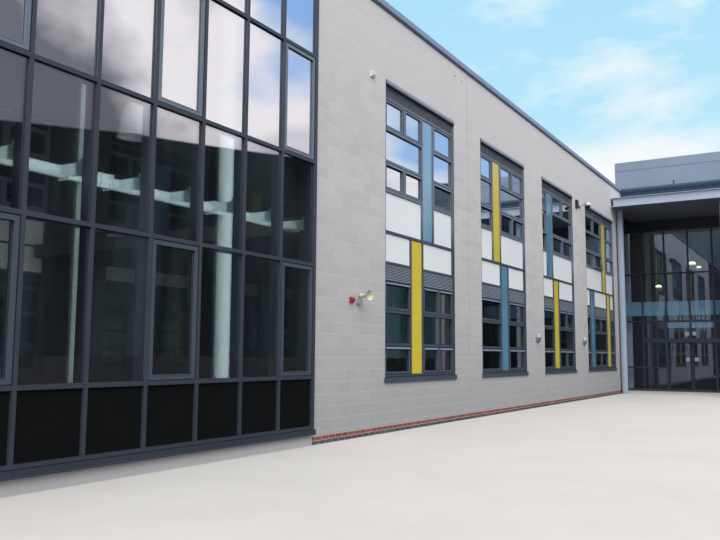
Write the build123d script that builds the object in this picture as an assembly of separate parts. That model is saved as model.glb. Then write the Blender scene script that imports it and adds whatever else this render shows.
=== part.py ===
"""School building: a two-storey blockwork wing with a glazed hall, and a glazed entrance
block across its far end. Millimetres, +Z up. Pieces are placed from the left end of the
wing's front wall, at ground level: +X runs along the front and +Y goes into the building.
The finished pieces are moved so that the origin is the centre of the footprint."""
from build123d import *
import math
import os

# Blockwork module and the wing's shell
BLOCK = 450
COURSE = 225
WALL = 330
WING_LENGTH = 76 * BLOCK
WING_DEPTH = 9000
WALL_TOP = 41 * COURSE
COPING_HEIGHT = 175
COPING_LIP = 45

# Storeys: floor slabs stand on or between the walls
GROUND_SLAB = 60
FIRST_FLOOR_TOP = 4290
FLOOR_SLAB = 300
ROOF_THICKNESS = 300
ROOF_UPSTAND = COURSE
ROOF_UNDERSIDE = WALL_TOP - ROOF_UPSTAND - ROOF_THICKNESS
HALL_EDGE = 21 * BLOCK

# Window strips: tall openings that take in both storeys
OPENING_BOTTOM = 5 * COURSE
OPENING_TOP = 34 * COURSE
BAY = 12 * BLOCK
STRIP = 8 * BLOCK
LAST_STRIP = 10 * BLOCK
FIRST_STRIP_LEFT = 26 * BLOCK
FRONT_STRIPS = 4
BACK_EXTRA_STRIPS = 2

# Window frame members, and how far each layer lies behind the wall's face
BAR = 56
FRAME_FRONT = 30
FRAME_BACK = 120
LINING = 14
PANEL_FACE = 60
PANEL_THICKNESS = 40
FIN_FACE = 52
LOUVRE_FACE = 48
SASH_FACE = 38
SASH_DEPTH = 60
SASH_BAR = 60
SASH_GLASS_FACE = 68
GLASS_FACE = 76
GLASS_THICKNESS = 24

# Heights of the frame's cross bars, at their centres
TRANSOM_LOUVRE_TOP = 7268
TRANSOM_ROW_1 = 6570
TRANSOM_ROW_2 = 5856
TRANSOM_ROW_3 = 5195
STOREY_LINE = FIRST_FLOOR_TOP
TRANSOM_PANEL = 3610
TRANSOM_LOWER_LOUVRE = 3250
TRANSOM_ROW_4 = 2560
TRANSOM_ROW_5 = 1857

# Sill and head flashings of the window strips
SILL_TRAY = 25
SILL_LIP = 80
SILL_PROUD = 35
SILL_END = 40
HEAD_HEIGHT = 115
HEAD_PROUD = 20

# Coloured fins: width between bar centres, and where each strip's fin starts. The wide last
# strip has a second fin in its lower storey.
FIN = 600
UPPER_FIN_STARTS = [1850, 970, 580, 2580]
UPPER_FIN_COLOURS = ["blue", "yellow", "blue", "yellow"]
LOWER_FIN_STARTS = [1270, 1560, 1215, 630]
LOWER_FIN_COLOURS = ["yellow", "blue", "yellow", "blue"]
SECOND_FIN_START = 3240
SECOND_FIN_COLOUR = "yellow"

# Openings wider than this have two sashes side by side
DOUBLE_SASH = 1650

# The top-hung sash that stands open, in the last strip's upper storey
OPEN_SASH_TILT = 7
OPEN_SASH_PLAY = 6

# Curtain wall of the hall
HALL_RIGHT = 20 * BLOCK
HALL_PANE = 1006
HALL_PANES = 7
HALL_JAMB = 55
MULLION = 60
CAP_PROUD = 50
MULLION_BACK = 170
HALL_UPSTAND = 200
HALL_SILL_TOP = 290
HALL_SILL_NOSE = 40
HALL_TRANSOMS = [1220, 3260, 5178, 7210]
HALL_SASH_EVERY_ROW = 2
HALL_SASH_EVERY_PANE = 3
HALL_SASH_BAR = 80
HALL_SASH_SET_BACK = 10
HALL_SASH_BACK = 34
HALL_GLASS_BACK = 14

# Round steel in the hall
COLUMN_DIAMETER = 254
COLUMN_LINE = 700
COLUMN_PLACES = [4400, 7320]
TUBE_DIAMETER = 168
TUBE_BELOW_FLOOR = 230
TUBE_HEIGHT = FIRST_FLOOR_TOP - TUBE_BELOW_FLOOR
TUBE_OVERRUN = 400
BRACKET_THICKNESS = 20
BRACKET_HEIGHT = 120
END_BRACKET_INSET = 60

# Columns of the canopy, in a line in front of the wing's end
CANOPY_COLUMN = 273
CANOPY_COLUMN_REACH = 1050
CANOPY_COLUMN_FIRST = -180
CANOPY_COLUMN_SPACING = 4260
CANOPY_BAYS = 2
CANOPY_END = 500

# Entrance block across the wing's far end; its right side stands past the last canopy column
BLOCK_BACK = 88 * BLOCK
BLOCK_RIGHT = CANOPY_COLUMN_FIRST - CANOPY_BAYS * CANOPY_COLUMN_SPACING - CANOPY_END
PORCH_DEPTH = 2600
PORCH_RETURN = 770
SOFFIT_VOID = 480
SOFFIT = ROOF_UNDERSIDE - SOFFIT_VOID
SOFFIT_PANEL = 80
BULKHEAD_DROP = 450
BULKHEAD_PROUD = 50
SIDE_BULKHEAD_FACE = 100
BAND_THICKNESS = 300
GLASS_HEAD = SOFFIT - BULKHEAD_DROP
GLASS_PANE = 1065
GLASS_PANES = 9
PANES_BEFORE_DOORS = 2
GLASS_TRANSOMS = [3320, 5620]
MID_RAIL = 1120
DOOR_HEAD = 2300
HEADER_HEIGHT = 200
SPANDREL_BOTTOM = 3600
SPANDREL_TOP = 4275
PELMET_BOTTOM = 3000
ENTRANCE_COLUMN = 323
ENTRANCE_COLUMN_INSIDE = 600
ENTRANCE_COLUMN_ACROSS = 475

# Canopy
CANOPY_REACH = 2030
CANOPY_DEPTH = 400
CANOPY_FLANGE = 20
CANOPY_WEB_SET_BACK = 90
CANOPY_GAP = 20

# Sliding entrance doors
LEAF_DEPTH = 45
LEAF_BAR = 70
LEAF_CLEARANCE = 10
LEAF_LAP = 25
LEAF_MEETING_GAP = 6
HEADER_DEPTH = 160
SENSOR = (70, 260, 90)
SENSOR_LIFT = 10
TRACK_GAP = 8
CARRIAGE = (28, 140)
CARRIAGE_INSET = 120
RUNNING_GAP = 0.3

# Plant room on the entrance block's roof
PLANT_SET_BACK = 1100
PLANT_LEFT = 460
PLANT_SIDE_GAP = 1000
PLANT_RIGHT = BLOCK_RIGHT + PLANT_SIDE_GAP
PLANT_TOP = 10930
PLANT_WALL = 100
PLANT_BACK_GAP = 200

# Fittings on the front wall: place along the wall, height
WALL_LIGHTS = [(21735, 2226), (27256, 2226)]
LIGHT_DIAMETER = 330
LIGHT_DEPTH = 100
SPEAKER_PLACE = (10620, 2805)
SPEAKER_MOUTH = 210
SPEAKER_LENGTH = 300
SPEAKER_THROAT = 80
ALARM_BOXES = [(10300, 2705, 120, 120, 85), (10560, 2690, 120, 110, 70), (11086, 7559, 150, 110, 80),
               (26620, 7407, 200, 310, 90)]
CAMERA_PLACE = (27095, 7363)
CAMERA_REACH = 350
CAMERA_RISE = 147
CAMERA_ARM_BAR = 34
CAMERA_PLATE = (110, 20, 110)
CAMERA_DOME = 180
CAMERA_DOME_HEIGHT = 240
CAMERA_DOME_LIFT = 20


def block(x0, x1, y0, y1, z0, z1):
    """A box between two corners, given in either order."""
    centre = ((x0 + x1) / 2, (y0 + y1) / 2, (z0 + z1) / 2)
    return Pos(*centre) * Box(abs(x1 - x0), abs(y1 - y0), abs(z1 - z0))


TO_CENTRE = Pos(-BLOCK_BACK / 2, -(BLOCK_RIGHT + WING_DEPTH) / 2, 0)


def save(name, solids):
    """Writes one node, from one solid or a list of solids that don't touch."""
    solids = [TO_CENTRE * solid for solid in (solids if isinstance(solids, list) else [solids])]
    shape = solids[0] if len(solids) == 1 else Compound(children=solids)
    export_step(shape, f"parts/{name}.step")


class Face:
    """The outside face of a long wall, and the direction that goes into it."""

    def __init__(self, y, inward):
        self.y = y
        self.inward = inward

    def block(self, x0, x1, depth0, depth1, z0, z1):
        """A box whose depths are measured from the face into the wall."""
        return block(x0, x1, self.y + self.inward * depth0, self.y + self.inward * depth1, z0, z1)


FRONT = Face(0, 1)
BACK = Face(WING_DEPTH, -1)


def strip_edges():
    """Left and right edges of the front's window strips; the last one is wider."""
    edges = []
    for number in range(FRONT_STRIPS):
        left = FIRST_STRIP_LEFT + number * BAY
        width = LAST_STRIP if number == FRONT_STRIPS - 1 else STRIP
        edges.append((left, left + width))
    return edges


def back_strip_edges():
    """The back repeats the front's strips and carries their spacing on past the hall."""
    extra = [FIRST_STRIP_LEFT - (number + 1) * BAY for number in range(BACK_EXTRA_STRIPS)]
    return [(left, left + STRIP) for left in reversed(extra)] + strip_edges()


def wall_piers(face, openings):
    """The full-height stretches of wall beside the openings."""
    starts = [0] + [right for left, right in openings]
    ends = [left for left, right in openings] + [WING_LENGTH]
    return [face.block(x0, x1, 0, WALL, 0, WALL_TOP) for x0, x1 in zip(starts, ends)]


def wall_bands(face, openings):
    """The wall below the sills and above the heads of the window strips."""
    below = [face.block(left, right, 0, WALL, 0, OPENING_BOTTOM) for left, right in openings]
    above = [face.block(left, right, 0, WALL, OPENING_TOP, WALL_TOP) for left, right in openings]
    return below + above


def columns_between(left, right, fins):
    """Splits a strip at its fins: (kind, start, end) between bar centres."""
    spans = []
    x = left
    for start, colour in fins:
        spans.append(("window", x, left + start))
        spans.append((colour, left + start, left + start + FIN))
        x = left + start + FIN
    spans.append(("window", x, right))
    return spans


def hole(span_start, span_end, left, right, z0, z1):
    """The clear opening between bars, half a bar in from each centre line."""
    x0 = span_start + (BAR if span_start == left else BAR / 2)
    x1 = span_end - (BAR if span_end == right else BAR / 2)
    return x0, x1, z0 + BAR / 2, z1 - BAR / 2


def sash_ring(face, x0, x1, z0, z1):
    """A window sash, which fills its opening in the frame."""
    outer = face.block(x0, x1, SASH_FACE, SASH_FACE + SASH_DEPTH, z0, z1)
    inner = face.block(x0 + SASH_BAR, x1 - SASH_BAR, 0, FRAME_BACK, z0 + SASH_BAR, z1 - SASH_BAR)
    return outer - inner


def tilted_out(shape, face, middle, top):
    """Turns a sash's piece about the sash's top edge, so that its foot stands out from the wall."""
    hinge = Pos(middle, face.y + face.inward * SASH_FACE, top)
    return hinge * Rot(-face.inward * OPEN_SASH_TILT, 0, 0) * Pos(*(-hinge.position)) * shape


def window_strip(face, left, right, upper_fins, lower_fins, open_sash):
    """All pieces of one strip, by kind, with the frame as one solid."""
    pieces = {kind: [] for kind in ("sash", "glass", "white", "blue", "yellow", "louvre")}
    bottom = OPENING_BOTTOM + SILL_TRAY
    top = OPENING_TOP - HEAD_HEIGHT
    upper_rows = [("sash", TRANSOM_ROW_1, TRANSOM_LOUVRE_TOP), ("glass", TRANSOM_ROW_2, TRANSOM_ROW_1),
                  ("sash", TRANSOM_ROW_3, TRANSOM_ROW_2), ("white", STOREY_LINE, TRANSOM_ROW_3)]
    lower_rows = [("white", TRANSOM_PANEL, STOREY_LINE), ("louvre", TRANSOM_LOWER_LOUVRE, TRANSOM_PANEL),
                  ("sash", TRANSOM_ROW_4, TRANSOM_LOWER_LOUVRE), ("glass", TRANSOM_ROW_5, TRANSOM_ROW_4),
                  ("sash", bottom + BAR / 2, TRANSOM_ROW_5)]
    holes = []

    def fill_with_sashes(x0, x1, z0, z1):
        middle = (x0 + x1) / 2
        spans = [(x0, x1)]
        if x1 - x0 > DOUBLE_SASH - BAR:
            spans = [(x0, middle - BAR / 2), (middle + BAR / 2, x1)]
        for a, b in spans:
            holes.append((a, b, z0, z1))
            in_third_row = z1 < TRANSOM_ROW_2 < z1 + BAR
            is_open = open_sash and in_third_row and middle < a < b < left + UPPER_FIN_STARTS[-1]
            low = z0 + OPEN_SASH_PLAY if is_open else z0
            glass_back = SASH_GLASS_FACE + GLASS_THICKNESS
            parts = [sash_ring(face, a, b, low, z1),
                     face.block(a + SASH_BAR, b - SASH_BAR, SASH_GLASS_FACE, glass_back,
                                low + SASH_BAR, z1 - SASH_BAR)]
            if is_open:
                parts = [tilted_out(part, face, (a + b) / 2, z1) for part in parts]
            pieces["sash"].append(parts[0])
            pieces["glass"].append(parts[1])

    def fill(kind, x0, x1, z0, z1):
        if kind == "sash":
            fill_with_sashes(x0, x1, z0, z1)
            return
        holes.append((x0, x1, z0, z1))
        front = {"glass": GLASS_FACE, "white": PANEL_FACE, "louvre": LOUVRE_FACE}.get(kind, FIN_FACE)
        depth = GLASS_THICKNESS if kind == "glass" else PANEL_THICKNESS
        pieces[kind].append(face.block(x0, x1, front, front + depth, z0, z1))

    fill("louvre", left + BAR, right - BAR, TRANSOM_LOUVRE_TOP + BAR / 2, top - BAR / 2)
    for rows, fins in ((upper_rows, upper_fins), (lower_rows, lower_fins)):
        for kind, start, end in columns_between(left, right, fins):
            if kind != "window":
                fill(kind, *hole(start, end, left, right, rows[-1][1], rows[0][2]))
                continue
            for row_kind, z0, z1 in rows:
                fill(row_kind, *hole(start, end, left, right, z0, z1))
    frame = face.block(left, right, FRAME_FRONT, FRAME_BACK, bottom, top)
    cuts = [face.block(x0, x1, 0, WALL, z0, z1) for x0, x1, z0, z1 in holes]
    lining = face.block(left, right, 0, FRAME_FRONT, bottom, top)
    lining -= face.block(left + LINING, right - LINING, -1, FRAME_FRONT + 1, bottom - 1, top + 1)
    pieces["frame"] = [(frame - cuts) + lining]
    return pieces


def strips_on(face, edges, first_pattern):
    """All strips of one wall, with their pieces gathered by kind. Fins follow one pattern after
    another; the last pattern is the wide strip's own."""
    gathered = {}
    for number, (left, right) in enumerate(edges):
        is_last = number == len(edges) - 1
        pattern = FRONT_STRIPS - 1 if is_last else (number + first_pattern) % (FRONT_STRIPS - 1)
        upper_fins = [(UPPER_FIN_STARTS[pattern], UPPER_FIN_COLOURS[pattern])]
        lower_fins = [(LOWER_FIN_STARTS[pattern], LOWER_FIN_COLOURS[pattern])]
        if is_last:
            lower_fins.append((SECOND_FIN_START, SECOND_FIN_COLOUR))
        strip = window_strip(face, left, right, upper_fins, lower_fins, is_last and face is FRONT)
        for kind, solids in strip.items():
            gathered.setdefault(kind, []).extend(solids)
    return gathered


def sill(face, left, right):
    """Pressed sill: a tray under the frame with a lip down the wall's face."""
    tray = face.block(left, right, -SILL_PROUD, FRAME_BACK, OPENING_BOTTOM, OPENING_BOTTOM + SILL_TRAY)
    nose = face.block(left - SILL_END, right + SILL_END, -SILL_PROUD, 0,
                      OPENING_BOTTOM - SILL_LIP, OPENING_BOTTOM + SILL_TRAY)
    return tray + nose


def head(face, left, right):
    """Head flashing that closes the strip's top under the blockwork."""
    return face.block(left, right, -HEAD_PROUD, FRAME_BACK, OPENING_TOP - HEAD_HEIGHT, OPENING_TOP)


def make_wing_shell():
    hall_left = HALL_RIGHT - HALL_PANES * HALL_PANE - 2 * HALL_JAMB
    front_openings = [(hall_left, HALL_RIGHT)] + strip_edges()
    save("front_wall_piers", wall_piers(FRONT, front_openings))
    upstand = FRONT.block(hall_left, HALL_RIGHT, 0, WALL, 0, HALL_UPSTAND)
    save("front_wall_bands", wall_bands(FRONT, strip_edges()) + [upstand])
    back_piers = wall_piers(BACK, back_strip_edges())
    last_edge = back_strip_edges()[-1][1]
    back_piers[-1] = BACK.block(last_edge, BLOCK_BACK - WALL, 0, WALL, 0, WALL_TOP)
    save("back_wall_piers", back_piers)
    save("back_wall_bands", wall_bands(BACK, back_strip_edges()))
    inner = (WALL, WING_DEPTH - WALL)
    save("left_end_wall", block(0, WALL, *inner, 0, WALL_TOP))
    save("right_end_wall",
         block(WING_LENGTH - WALL, WING_LENGTH, WALL, PORCH_RETURN + WALL, 0, ROOF_UNDERSIDE))
    clear = (WALL, WING_LENGTH - WALL)
    save("ground_floor", block(*clear, *inner, 0, GROUND_SLAB))
    save("first_floor", block(HALL_EDGE, clear[1], *inner, FIRST_FLOOR_TOP - FLOOR_SLAB, FIRST_FLOOR_TOP))
    save("roof_deck", block(WALL, WING_LENGTH, *inner, ROOF_UNDERSIDE, ROOF_UNDERSIDE + ROOF_THICKNESS))


def make_windows():
    front = strips_on(FRONT, strip_edges(), 0)
    back = strips_on(BACK, back_strip_edges(), 1)
    for kind, name in (("frame", "window_frames"), ("sash", "window_sashes"), ("glass", "window_glass"),
                       ("white", "white_panels"), ("blue", "blue_fins"), ("yellow", "yellow_fins"),
                       ("louvre", "louvre_bands")):
        save(name, front[kind] + back[kind])
    places = [(FRONT, edges) for edges in strip_edges()] + [(BACK, edges) for edges in back_strip_edges()]
    save("window_sills", [sill(face, *edges) for face, edges in places])
    save("window_heads", [head(face, *edges) for face, edges in places])


def hall_lines():
    """Centre lines of the hall's mullions, from left to right, jambs included."""
    right = HALL_RIGHT - HALL_JAMB
    return [right - (HALL_PANES - number) * HALL_PANE for number in range(HALL_PANES + 1)]


def ring(x0, x1, y0, y1, z0, z1, bar):
    """A rectangular frame in the XZ plane."""
    return block(x0, x1, y0, y1, z0, z1) - block(x0 + bar, x1 - bar, y0 - 1, y1 + 1, z0 + bar, z1 - bar)


def make_curtain_wall():
    lines = hall_lines()
    left, right = lines[0] - HALL_JAMB, lines[-1] + HALL_JAMB
    levels = [HALL_SILL_TOP + MULLION / 2] + HALL_TRANSOMS + [WALL_TOP - MULLION / 2]
    frame = block(left, right, -CAP_PROUD, MULLION_BACK, HALL_SILL_TOP, WALL_TOP)
    cuts, sashes, glass, base = [], [], [], []
    half = MULLION / 2
    for column in range(HALL_PANES):
        x0, x1 = lines[column] + half, lines[column + 1] - half
        for row in range(len(levels) - 1):
            z0, z1 = levels[row] + half, levels[row + 1] - half
            cuts.append(block(x0, x1, -CAP_PROUD - 1, MULLION_BACK + 1, z0, z1))
            inset = 0
            if column % HALL_SASH_EVERY_PANE == 0 and row % HALL_SASH_EVERY_ROW == 1:
                sashes.append(ring(x0, x1, -CAP_PROUD + HALL_SASH_SET_BACK, HALL_SASH_BACK,
                                   z0, z1, HALL_SASH_BAR))
                inset = HALL_SASH_BAR
            pane = block(x0 + inset, x1 - inset, HALL_GLASS_BACK - GLASS_THICKNESS, HALL_GLASS_BACK,
                         z0 + inset, z1 - inset)
            (base if row == 0 else glass).append(pane)
    save("curtain_wall_frame", frame - cuts)
    save("curtain_wall_sashes", sashes)
    save("curtain_wall_glass", glass)
    save("curtain_wall_base_panels", base)
    nose = -CAP_PROUD - HALL_SILL_NOSE
    save("curtain_wall_sill", block(left, right, nose, WALL, HALL_UPSTAND, HALL_SILL_TOP))


def make_hall_steel():
    height = ROOF_UNDERSIDE - GROUND_SLAB
    columns = [Pos(x, COLUMN_LINE, GROUND_SLAB + height / 2) * Cylinder(COLUMN_DIAMETER / 2, height)
               for x in COLUMN_PLACES]
    save("hall_columns", columns)
    ends = [hall_lines()[0] - HALL_JAMB - TUBE_OVERRUN] + COLUMN_PLACES + [HALL_RIGHT + TUBE_OVERRUN]
    tubes = []
    for start, end in zip(ends, ends[1:]):
        tube = Cylinder(TUBE_DIAMETER / 2, end - start)
        run = Pos((start + end) / 2, COLUMN_LINE, TUBE_HEIGHT) * Rot(0, 90, 0) * tube
        for column in columns:
            run = run - column
        tubes.append(run)
    save("hall_tube", tubes)
    low, high = TUBE_HEIGHT - BRACKET_HEIGHT / 2, TUBE_HEIGHT + BRACKET_HEIGHT / 2
    roots = [(x, MULLION_BACK) for x in hall_lines()]
    roots += [(ends[0] + END_BRACKET_INSET, WALL), (ends[-1] - END_BRACKET_INSET, WALL)]
    brackets = []
    for x, root in roots:
        arm = block(x - BRACKET_THICKNESS / 2, x + BRACKET_THICKNESS / 2, root, COLUMN_LINE, low, high)
        brackets.append(arm - Pos(x, COLUMN_LINE, TUBE_HEIGHT) * Rot(0, 90, 0)
                        * Cylinder(TUBE_DIAMETER / 2, 4 * BRACKET_THICKNESS))
    save("hall_brackets", brackets)


def entrance_lines():
    """Centre lines of the entrance mullions, from the porch's inner corner outwards."""
    return [PORCH_RETURN - HALL_JAMB / 2 - number * GLASS_PANE for number in range(GLASS_PANES + 1)]


GLASS_PLANE = WING_LENGTH + PORCH_DEPTH
GLASS_FRONT = GLASS_PLANE - CAP_PROUD
GLASS_BACK = GLASS_PLANE + MULLION_BACK


def make_entrance_shell():
    right_inner = BLOCK_RIGHT + WALL
    back_inner = BLOCK_BACK - WALL
    save("entrance_back_wall", block(back_inner, BLOCK_BACK, BLOCK_RIGHT, WING_DEPTH, 0, WALL_TOP))
    save("entrance_side_wall", block(WING_LENGTH, back_inner, BLOCK_RIGHT, right_inner, 0, WALL_TOP))
    save("porch_return_wall",
         block(WING_LENGTH, GLASS_BACK, PORCH_RETURN, PORCH_RETURN + WALL, 0, ROOF_UNDERSIDE))
    across = (right_inner, PORCH_RETURN + WALL)
    link_start = WING_LENGTH - WALL
    behind = (PORCH_RETURN + WALL, WING_DEPTH - WALL)
    slab = (FIRST_FLOOR_TOP - FLOOR_SLAB, FIRST_FLOOR_TOP)
    save("entrance_floors", [block(GLASS_BACK, back_inner, *across, 0, GROUND_SLAB),
                             block(GLASS_BACK, back_inner, *across, *slab)])
    save("link_floors", [block(link_start, back_inner, *behind, 0, GROUND_SLAB),
                         block(link_start, back_inner, *behind, *slab)])
    save("entrance_threshold", block(GLASS_FRONT, GLASS_BACK, right_inner, PORCH_RETURN, 0, GROUND_SLAB))
    roof = (ROOF_UNDERSIDE, ROOF_UNDERSIDE + ROOF_THICKNESS)
    save("entrance_roof", block(WING_LENGTH, back_inner, right_inner, WING_DEPTH - WALL, *roof))
    band_back = WING_LENGTH + BAND_THICKNESS
    band = block(WING_LENGTH, band_back, right_inner, WALL, SOFFIT + CANOPY_DEPTH, WALL_TOP)
    save("entrance_parapet", band - block(WING_LENGTH - 1, BLOCK_BACK, BLOCK_RIGHT, WING_DEPTH, *roof))
    lengths = []
    for low, high in ((GROUND_SLAB, slab[0]), (slab[1], ROOF_UNDERSIDE)):
        place = Pos(GLASS_PLANE + ENTRANCE_COLUMN_INSIDE, ENTRANCE_COLUMN_ACROSS, (low + high) / 2)
        lengths.append(place * Cylinder(ENTRANCE_COLUMN / 2, high - low))
    save("entrance_column", lengths)


def make_porch():
    right_inner = BLOCK_RIGHT + WALL
    bulkhead_face = GLASS_FRONT - BULKHEAD_PROUD
    save("porch_soffit",
         block(WING_LENGTH, bulkhead_face, right_inner, PORCH_RETURN, SOFFIT, SOFFIT + SOFFIT_PANEL))
    front = block(bulkhead_face, GLASS_BACK, right_inner, PORCH_RETURN, GLASS_HEAD, ROOF_UNDERSIDE)
    side = block(WING_LENGTH, bulkhead_face, SIDE_BULKHEAD_FACE, PORCH_RETURN, GLASS_HEAD, SOFFIT)
    save("porch_bulkhead", front + side)


def make_entrance_glazing():
    lines = entrance_lines()
    left, right = PORCH_RETURN, BLOCK_RIGHT + WALL
    header_top = DOOR_HEAD + HEADER_HEIGHT
    half = MULLION / 2
    frame = block(GLASS_FRONT, GLASS_BACK, right, left, GROUND_SLAB, GLASS_HEAD)
    cuts, glass = [], []
    doors = (PANES_BEFORE_DOORS, PANES_BEFORE_DOORS + 1)
    header = DOOR_HEAD + HEADER_HEIGHT / 2
    for pane in range(GLASS_PANES):
        y1, y0 = lines[pane] - half, max(lines[pane + 1] + half, right + half)
        levels = [GROUND_SLAB + half, MID_RAIL] + GLASS_TRANSOMS + [GLASS_HEAD - half]
        if pane in doors:
            levels = [header] + levels[2:]
        elif doors[0] - 1 <= pane <= doors[1] + 1:
            levels.insert(2, header)
        for z0, z1 in zip(levels, levels[1:]):
            bottom = header_top if z0 == header else z0 + half
            top = DOOR_HEAD if z1 == header else z1 - half
            cuts.append(block(GLASS_FRONT - 1, GLASS_BACK + 1, y0, y1, bottom, top))
            glass.append(block(GLASS_PLANE, GLASS_PLANE + GLASS_THICKNESS, y0, y1, bottom, top))
    doorway_left, doorway_right = lines[doors[0]] - half, lines[doors[1] + 1] + half
    cuts.append(block(GLASS_FRONT - 1, GLASS_BACK + 1, doorway_right, doorway_left, 0, DOOR_HEAD))
    width, length, height = SENSOR
    middle = lines[PANES_BEFORE_DOORS + 1]
    sensor = block(GLASS_FRONT - width, GLASS_FRONT, middle - length / 2, middle + length / 2,
                   DOOR_HEAD + SENSOR_LIFT, DOOR_HEAD + SENSOR_LIFT + height)
    save("entrance_frame", (frame - cuts) + sensor)
    save("entrance_glass", glass)
    inside = GLASS_PLANE + GLASS_THICKNESS
    bands = []
    for pane in range(GLASS_PANES):
        y1, y0 = lines[pane] - half, max(lines[pane + 1] + half, right + half)
        bands.append(block(inside, inside + PANEL_THICKNESS, y0, y1, SPANDREL_BOTTOM, SPANDREL_TOP))
        if pane in doors:
            pelmet_top = GLASS_TRANSOMS[0] - half
            bands.append(block(inside, inside + PANEL_THICKNESS, y0, y1, PELMET_BOTTOM, pelmet_top))
    save("entrance_spandrels", bands)


def make_doors():
    """Two leaves that part along Y behind the fixed side screens; carriages on their tops
    run under the header."""
    lines = entrance_lines()
    half = MULLION / 2
    front = GLASS_BACK + LEAF_CLEARANCE
    back = front + LEAF_DEPTH
    bottom, top = GROUND_SLAB + TRACK_GAP, DOOR_HEAD + HEADER_HEIGHT / 4
    meeting = lines[PANES_BEFORE_DOORS + 1]
    outer_left = lines[PANES_BEFORE_DOORS] - half + LEAF_LAP
    outer_right = lines[PANES_BEFORE_DOORS + 2] + half - LEAF_LAP
    spans = {"left": (meeting + LEAF_MEETING_GAP / 2, outer_left),
             "right": (outer_right, meeting - LEAF_MEETING_GAP / 2)}
    for side, (y0, y1) in spans.items():
        leaf = block(front, back, y0, y1, bottom, top)
        clear = (y0 + LEAF_BAR, y1 - LEAF_BAR, bottom + LEAF_BAR, top - LEAF_BAR)
        leaf -= block(front - 1, back + 1, *clear)
        middle = (front + back) / 2
        thickness, length = CARRIAGE
        for end in (y0 + CARRIAGE_INSET, y1 - CARRIAGE_INSET - length):
            leaf += block(middle - thickness / 2, middle + thickness / 2, end, end + length,
                          top, top + TRACK_GAP - RUNNING_GAP)
        save(f"door_{side}_leaf", leaf)
        save(f"door_{side}_glass", block(middle - GLASS_THICKNESS / 2, middle + GLASS_THICKNESS / 2, *clear))
    header_low = top + TRACK_GAP
    run = (lines[PANES_BEFORE_DOORS + 3], lines[PANES_BEFORE_DOORS - 1])
    header = block(GLASS_BACK, GLASS_BACK + HEADER_DEPTH, *run, header_low, header_low + HEADER_HEIGHT)
    save("door_header", header)


def make_canopy():
    right = BLOCK_RIGHT
    front = WING_LENGTH - CANOPY_REACH
    low, high = SOFFIT, SOFFIT + CANOPY_DEPTH
    roof = block(front + CANOPY_WEB_SET_BACK, WING_LENGTH, right + CANOPY_WEB_SET_BACK,
                 -CANOPY_GAP - CANOPY_WEB_SET_BACK, low, high)
    for z in (low, high - CANOPY_FLANGE):
        roof += block(front, WING_LENGTH, right, -CANOPY_GAP, z, z + CANOPY_FLANGE)
    save("canopy_roof", roof)
    x = WING_LENGTH - CANOPY_COLUMN_REACH
    columns = []
    for number in range(CANOPY_BAYS + 1):
        y = CANOPY_COLUMN_FIRST - number * CANOPY_COLUMN_SPACING
        columns.append(Pos(x, y, SOFFIT / 2) * Cylinder(CANOPY_COLUMN / 2, SOFFIT))
    save("canopy_columns", columns)


def make_coping():
    """One metal coping round both blocks, in straight lengths that share a solid."""
    lip, cover = COPING_LIP, WALL + COPING_LIP
    z = (WALL_TOP, WALL_TOP + COPING_HEIGHT)
    front = block(-lip, WING_LENGTH + cover, -lip, cover, *z)
    band = block(WING_LENGTH - lip, WING_LENGTH + cover, BLOCK_RIGHT - lip, cover, *z)
    side = block(WING_LENGTH - lip, BLOCK_BACK + lip, BLOCK_RIGHT - lip, BLOCK_RIGHT + cover, *z)
    far = block(BLOCK_BACK - cover, BLOCK_BACK + lip, BLOCK_RIGHT - lip, WING_DEPTH + lip, *z)
    back = block(-lip, BLOCK_BACK + lip, WING_DEPTH - cover, WING_DEPTH + lip, *z)
    near = block(-lip, cover, -lip, WING_DEPTH + lip, *z)
    save("wall_coping", front + band + side + far + back + near)


def make_plant_room():
    x0, x1 = WING_LENGTH + PLANT_SET_BACK, BLOCK_BACK - WALL - COPING_LIP - PLANT_BACK_GAP
    z0 = ROOF_UNDERSIDE + ROOF_THICKNESS
    room = block(x0, x1, PLANT_RIGHT, PLANT_LEFT, z0, PLANT_TOP)
    room -= block(x0 + PLANT_WALL, x1 - PLANT_WALL, PLANT_RIGHT + PLANT_WALL, PLANT_LEFT - PLANT_WALL,
                  z0 - 1, PLANT_TOP - PLANT_WALL)
    save("plant_room", room)


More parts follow.
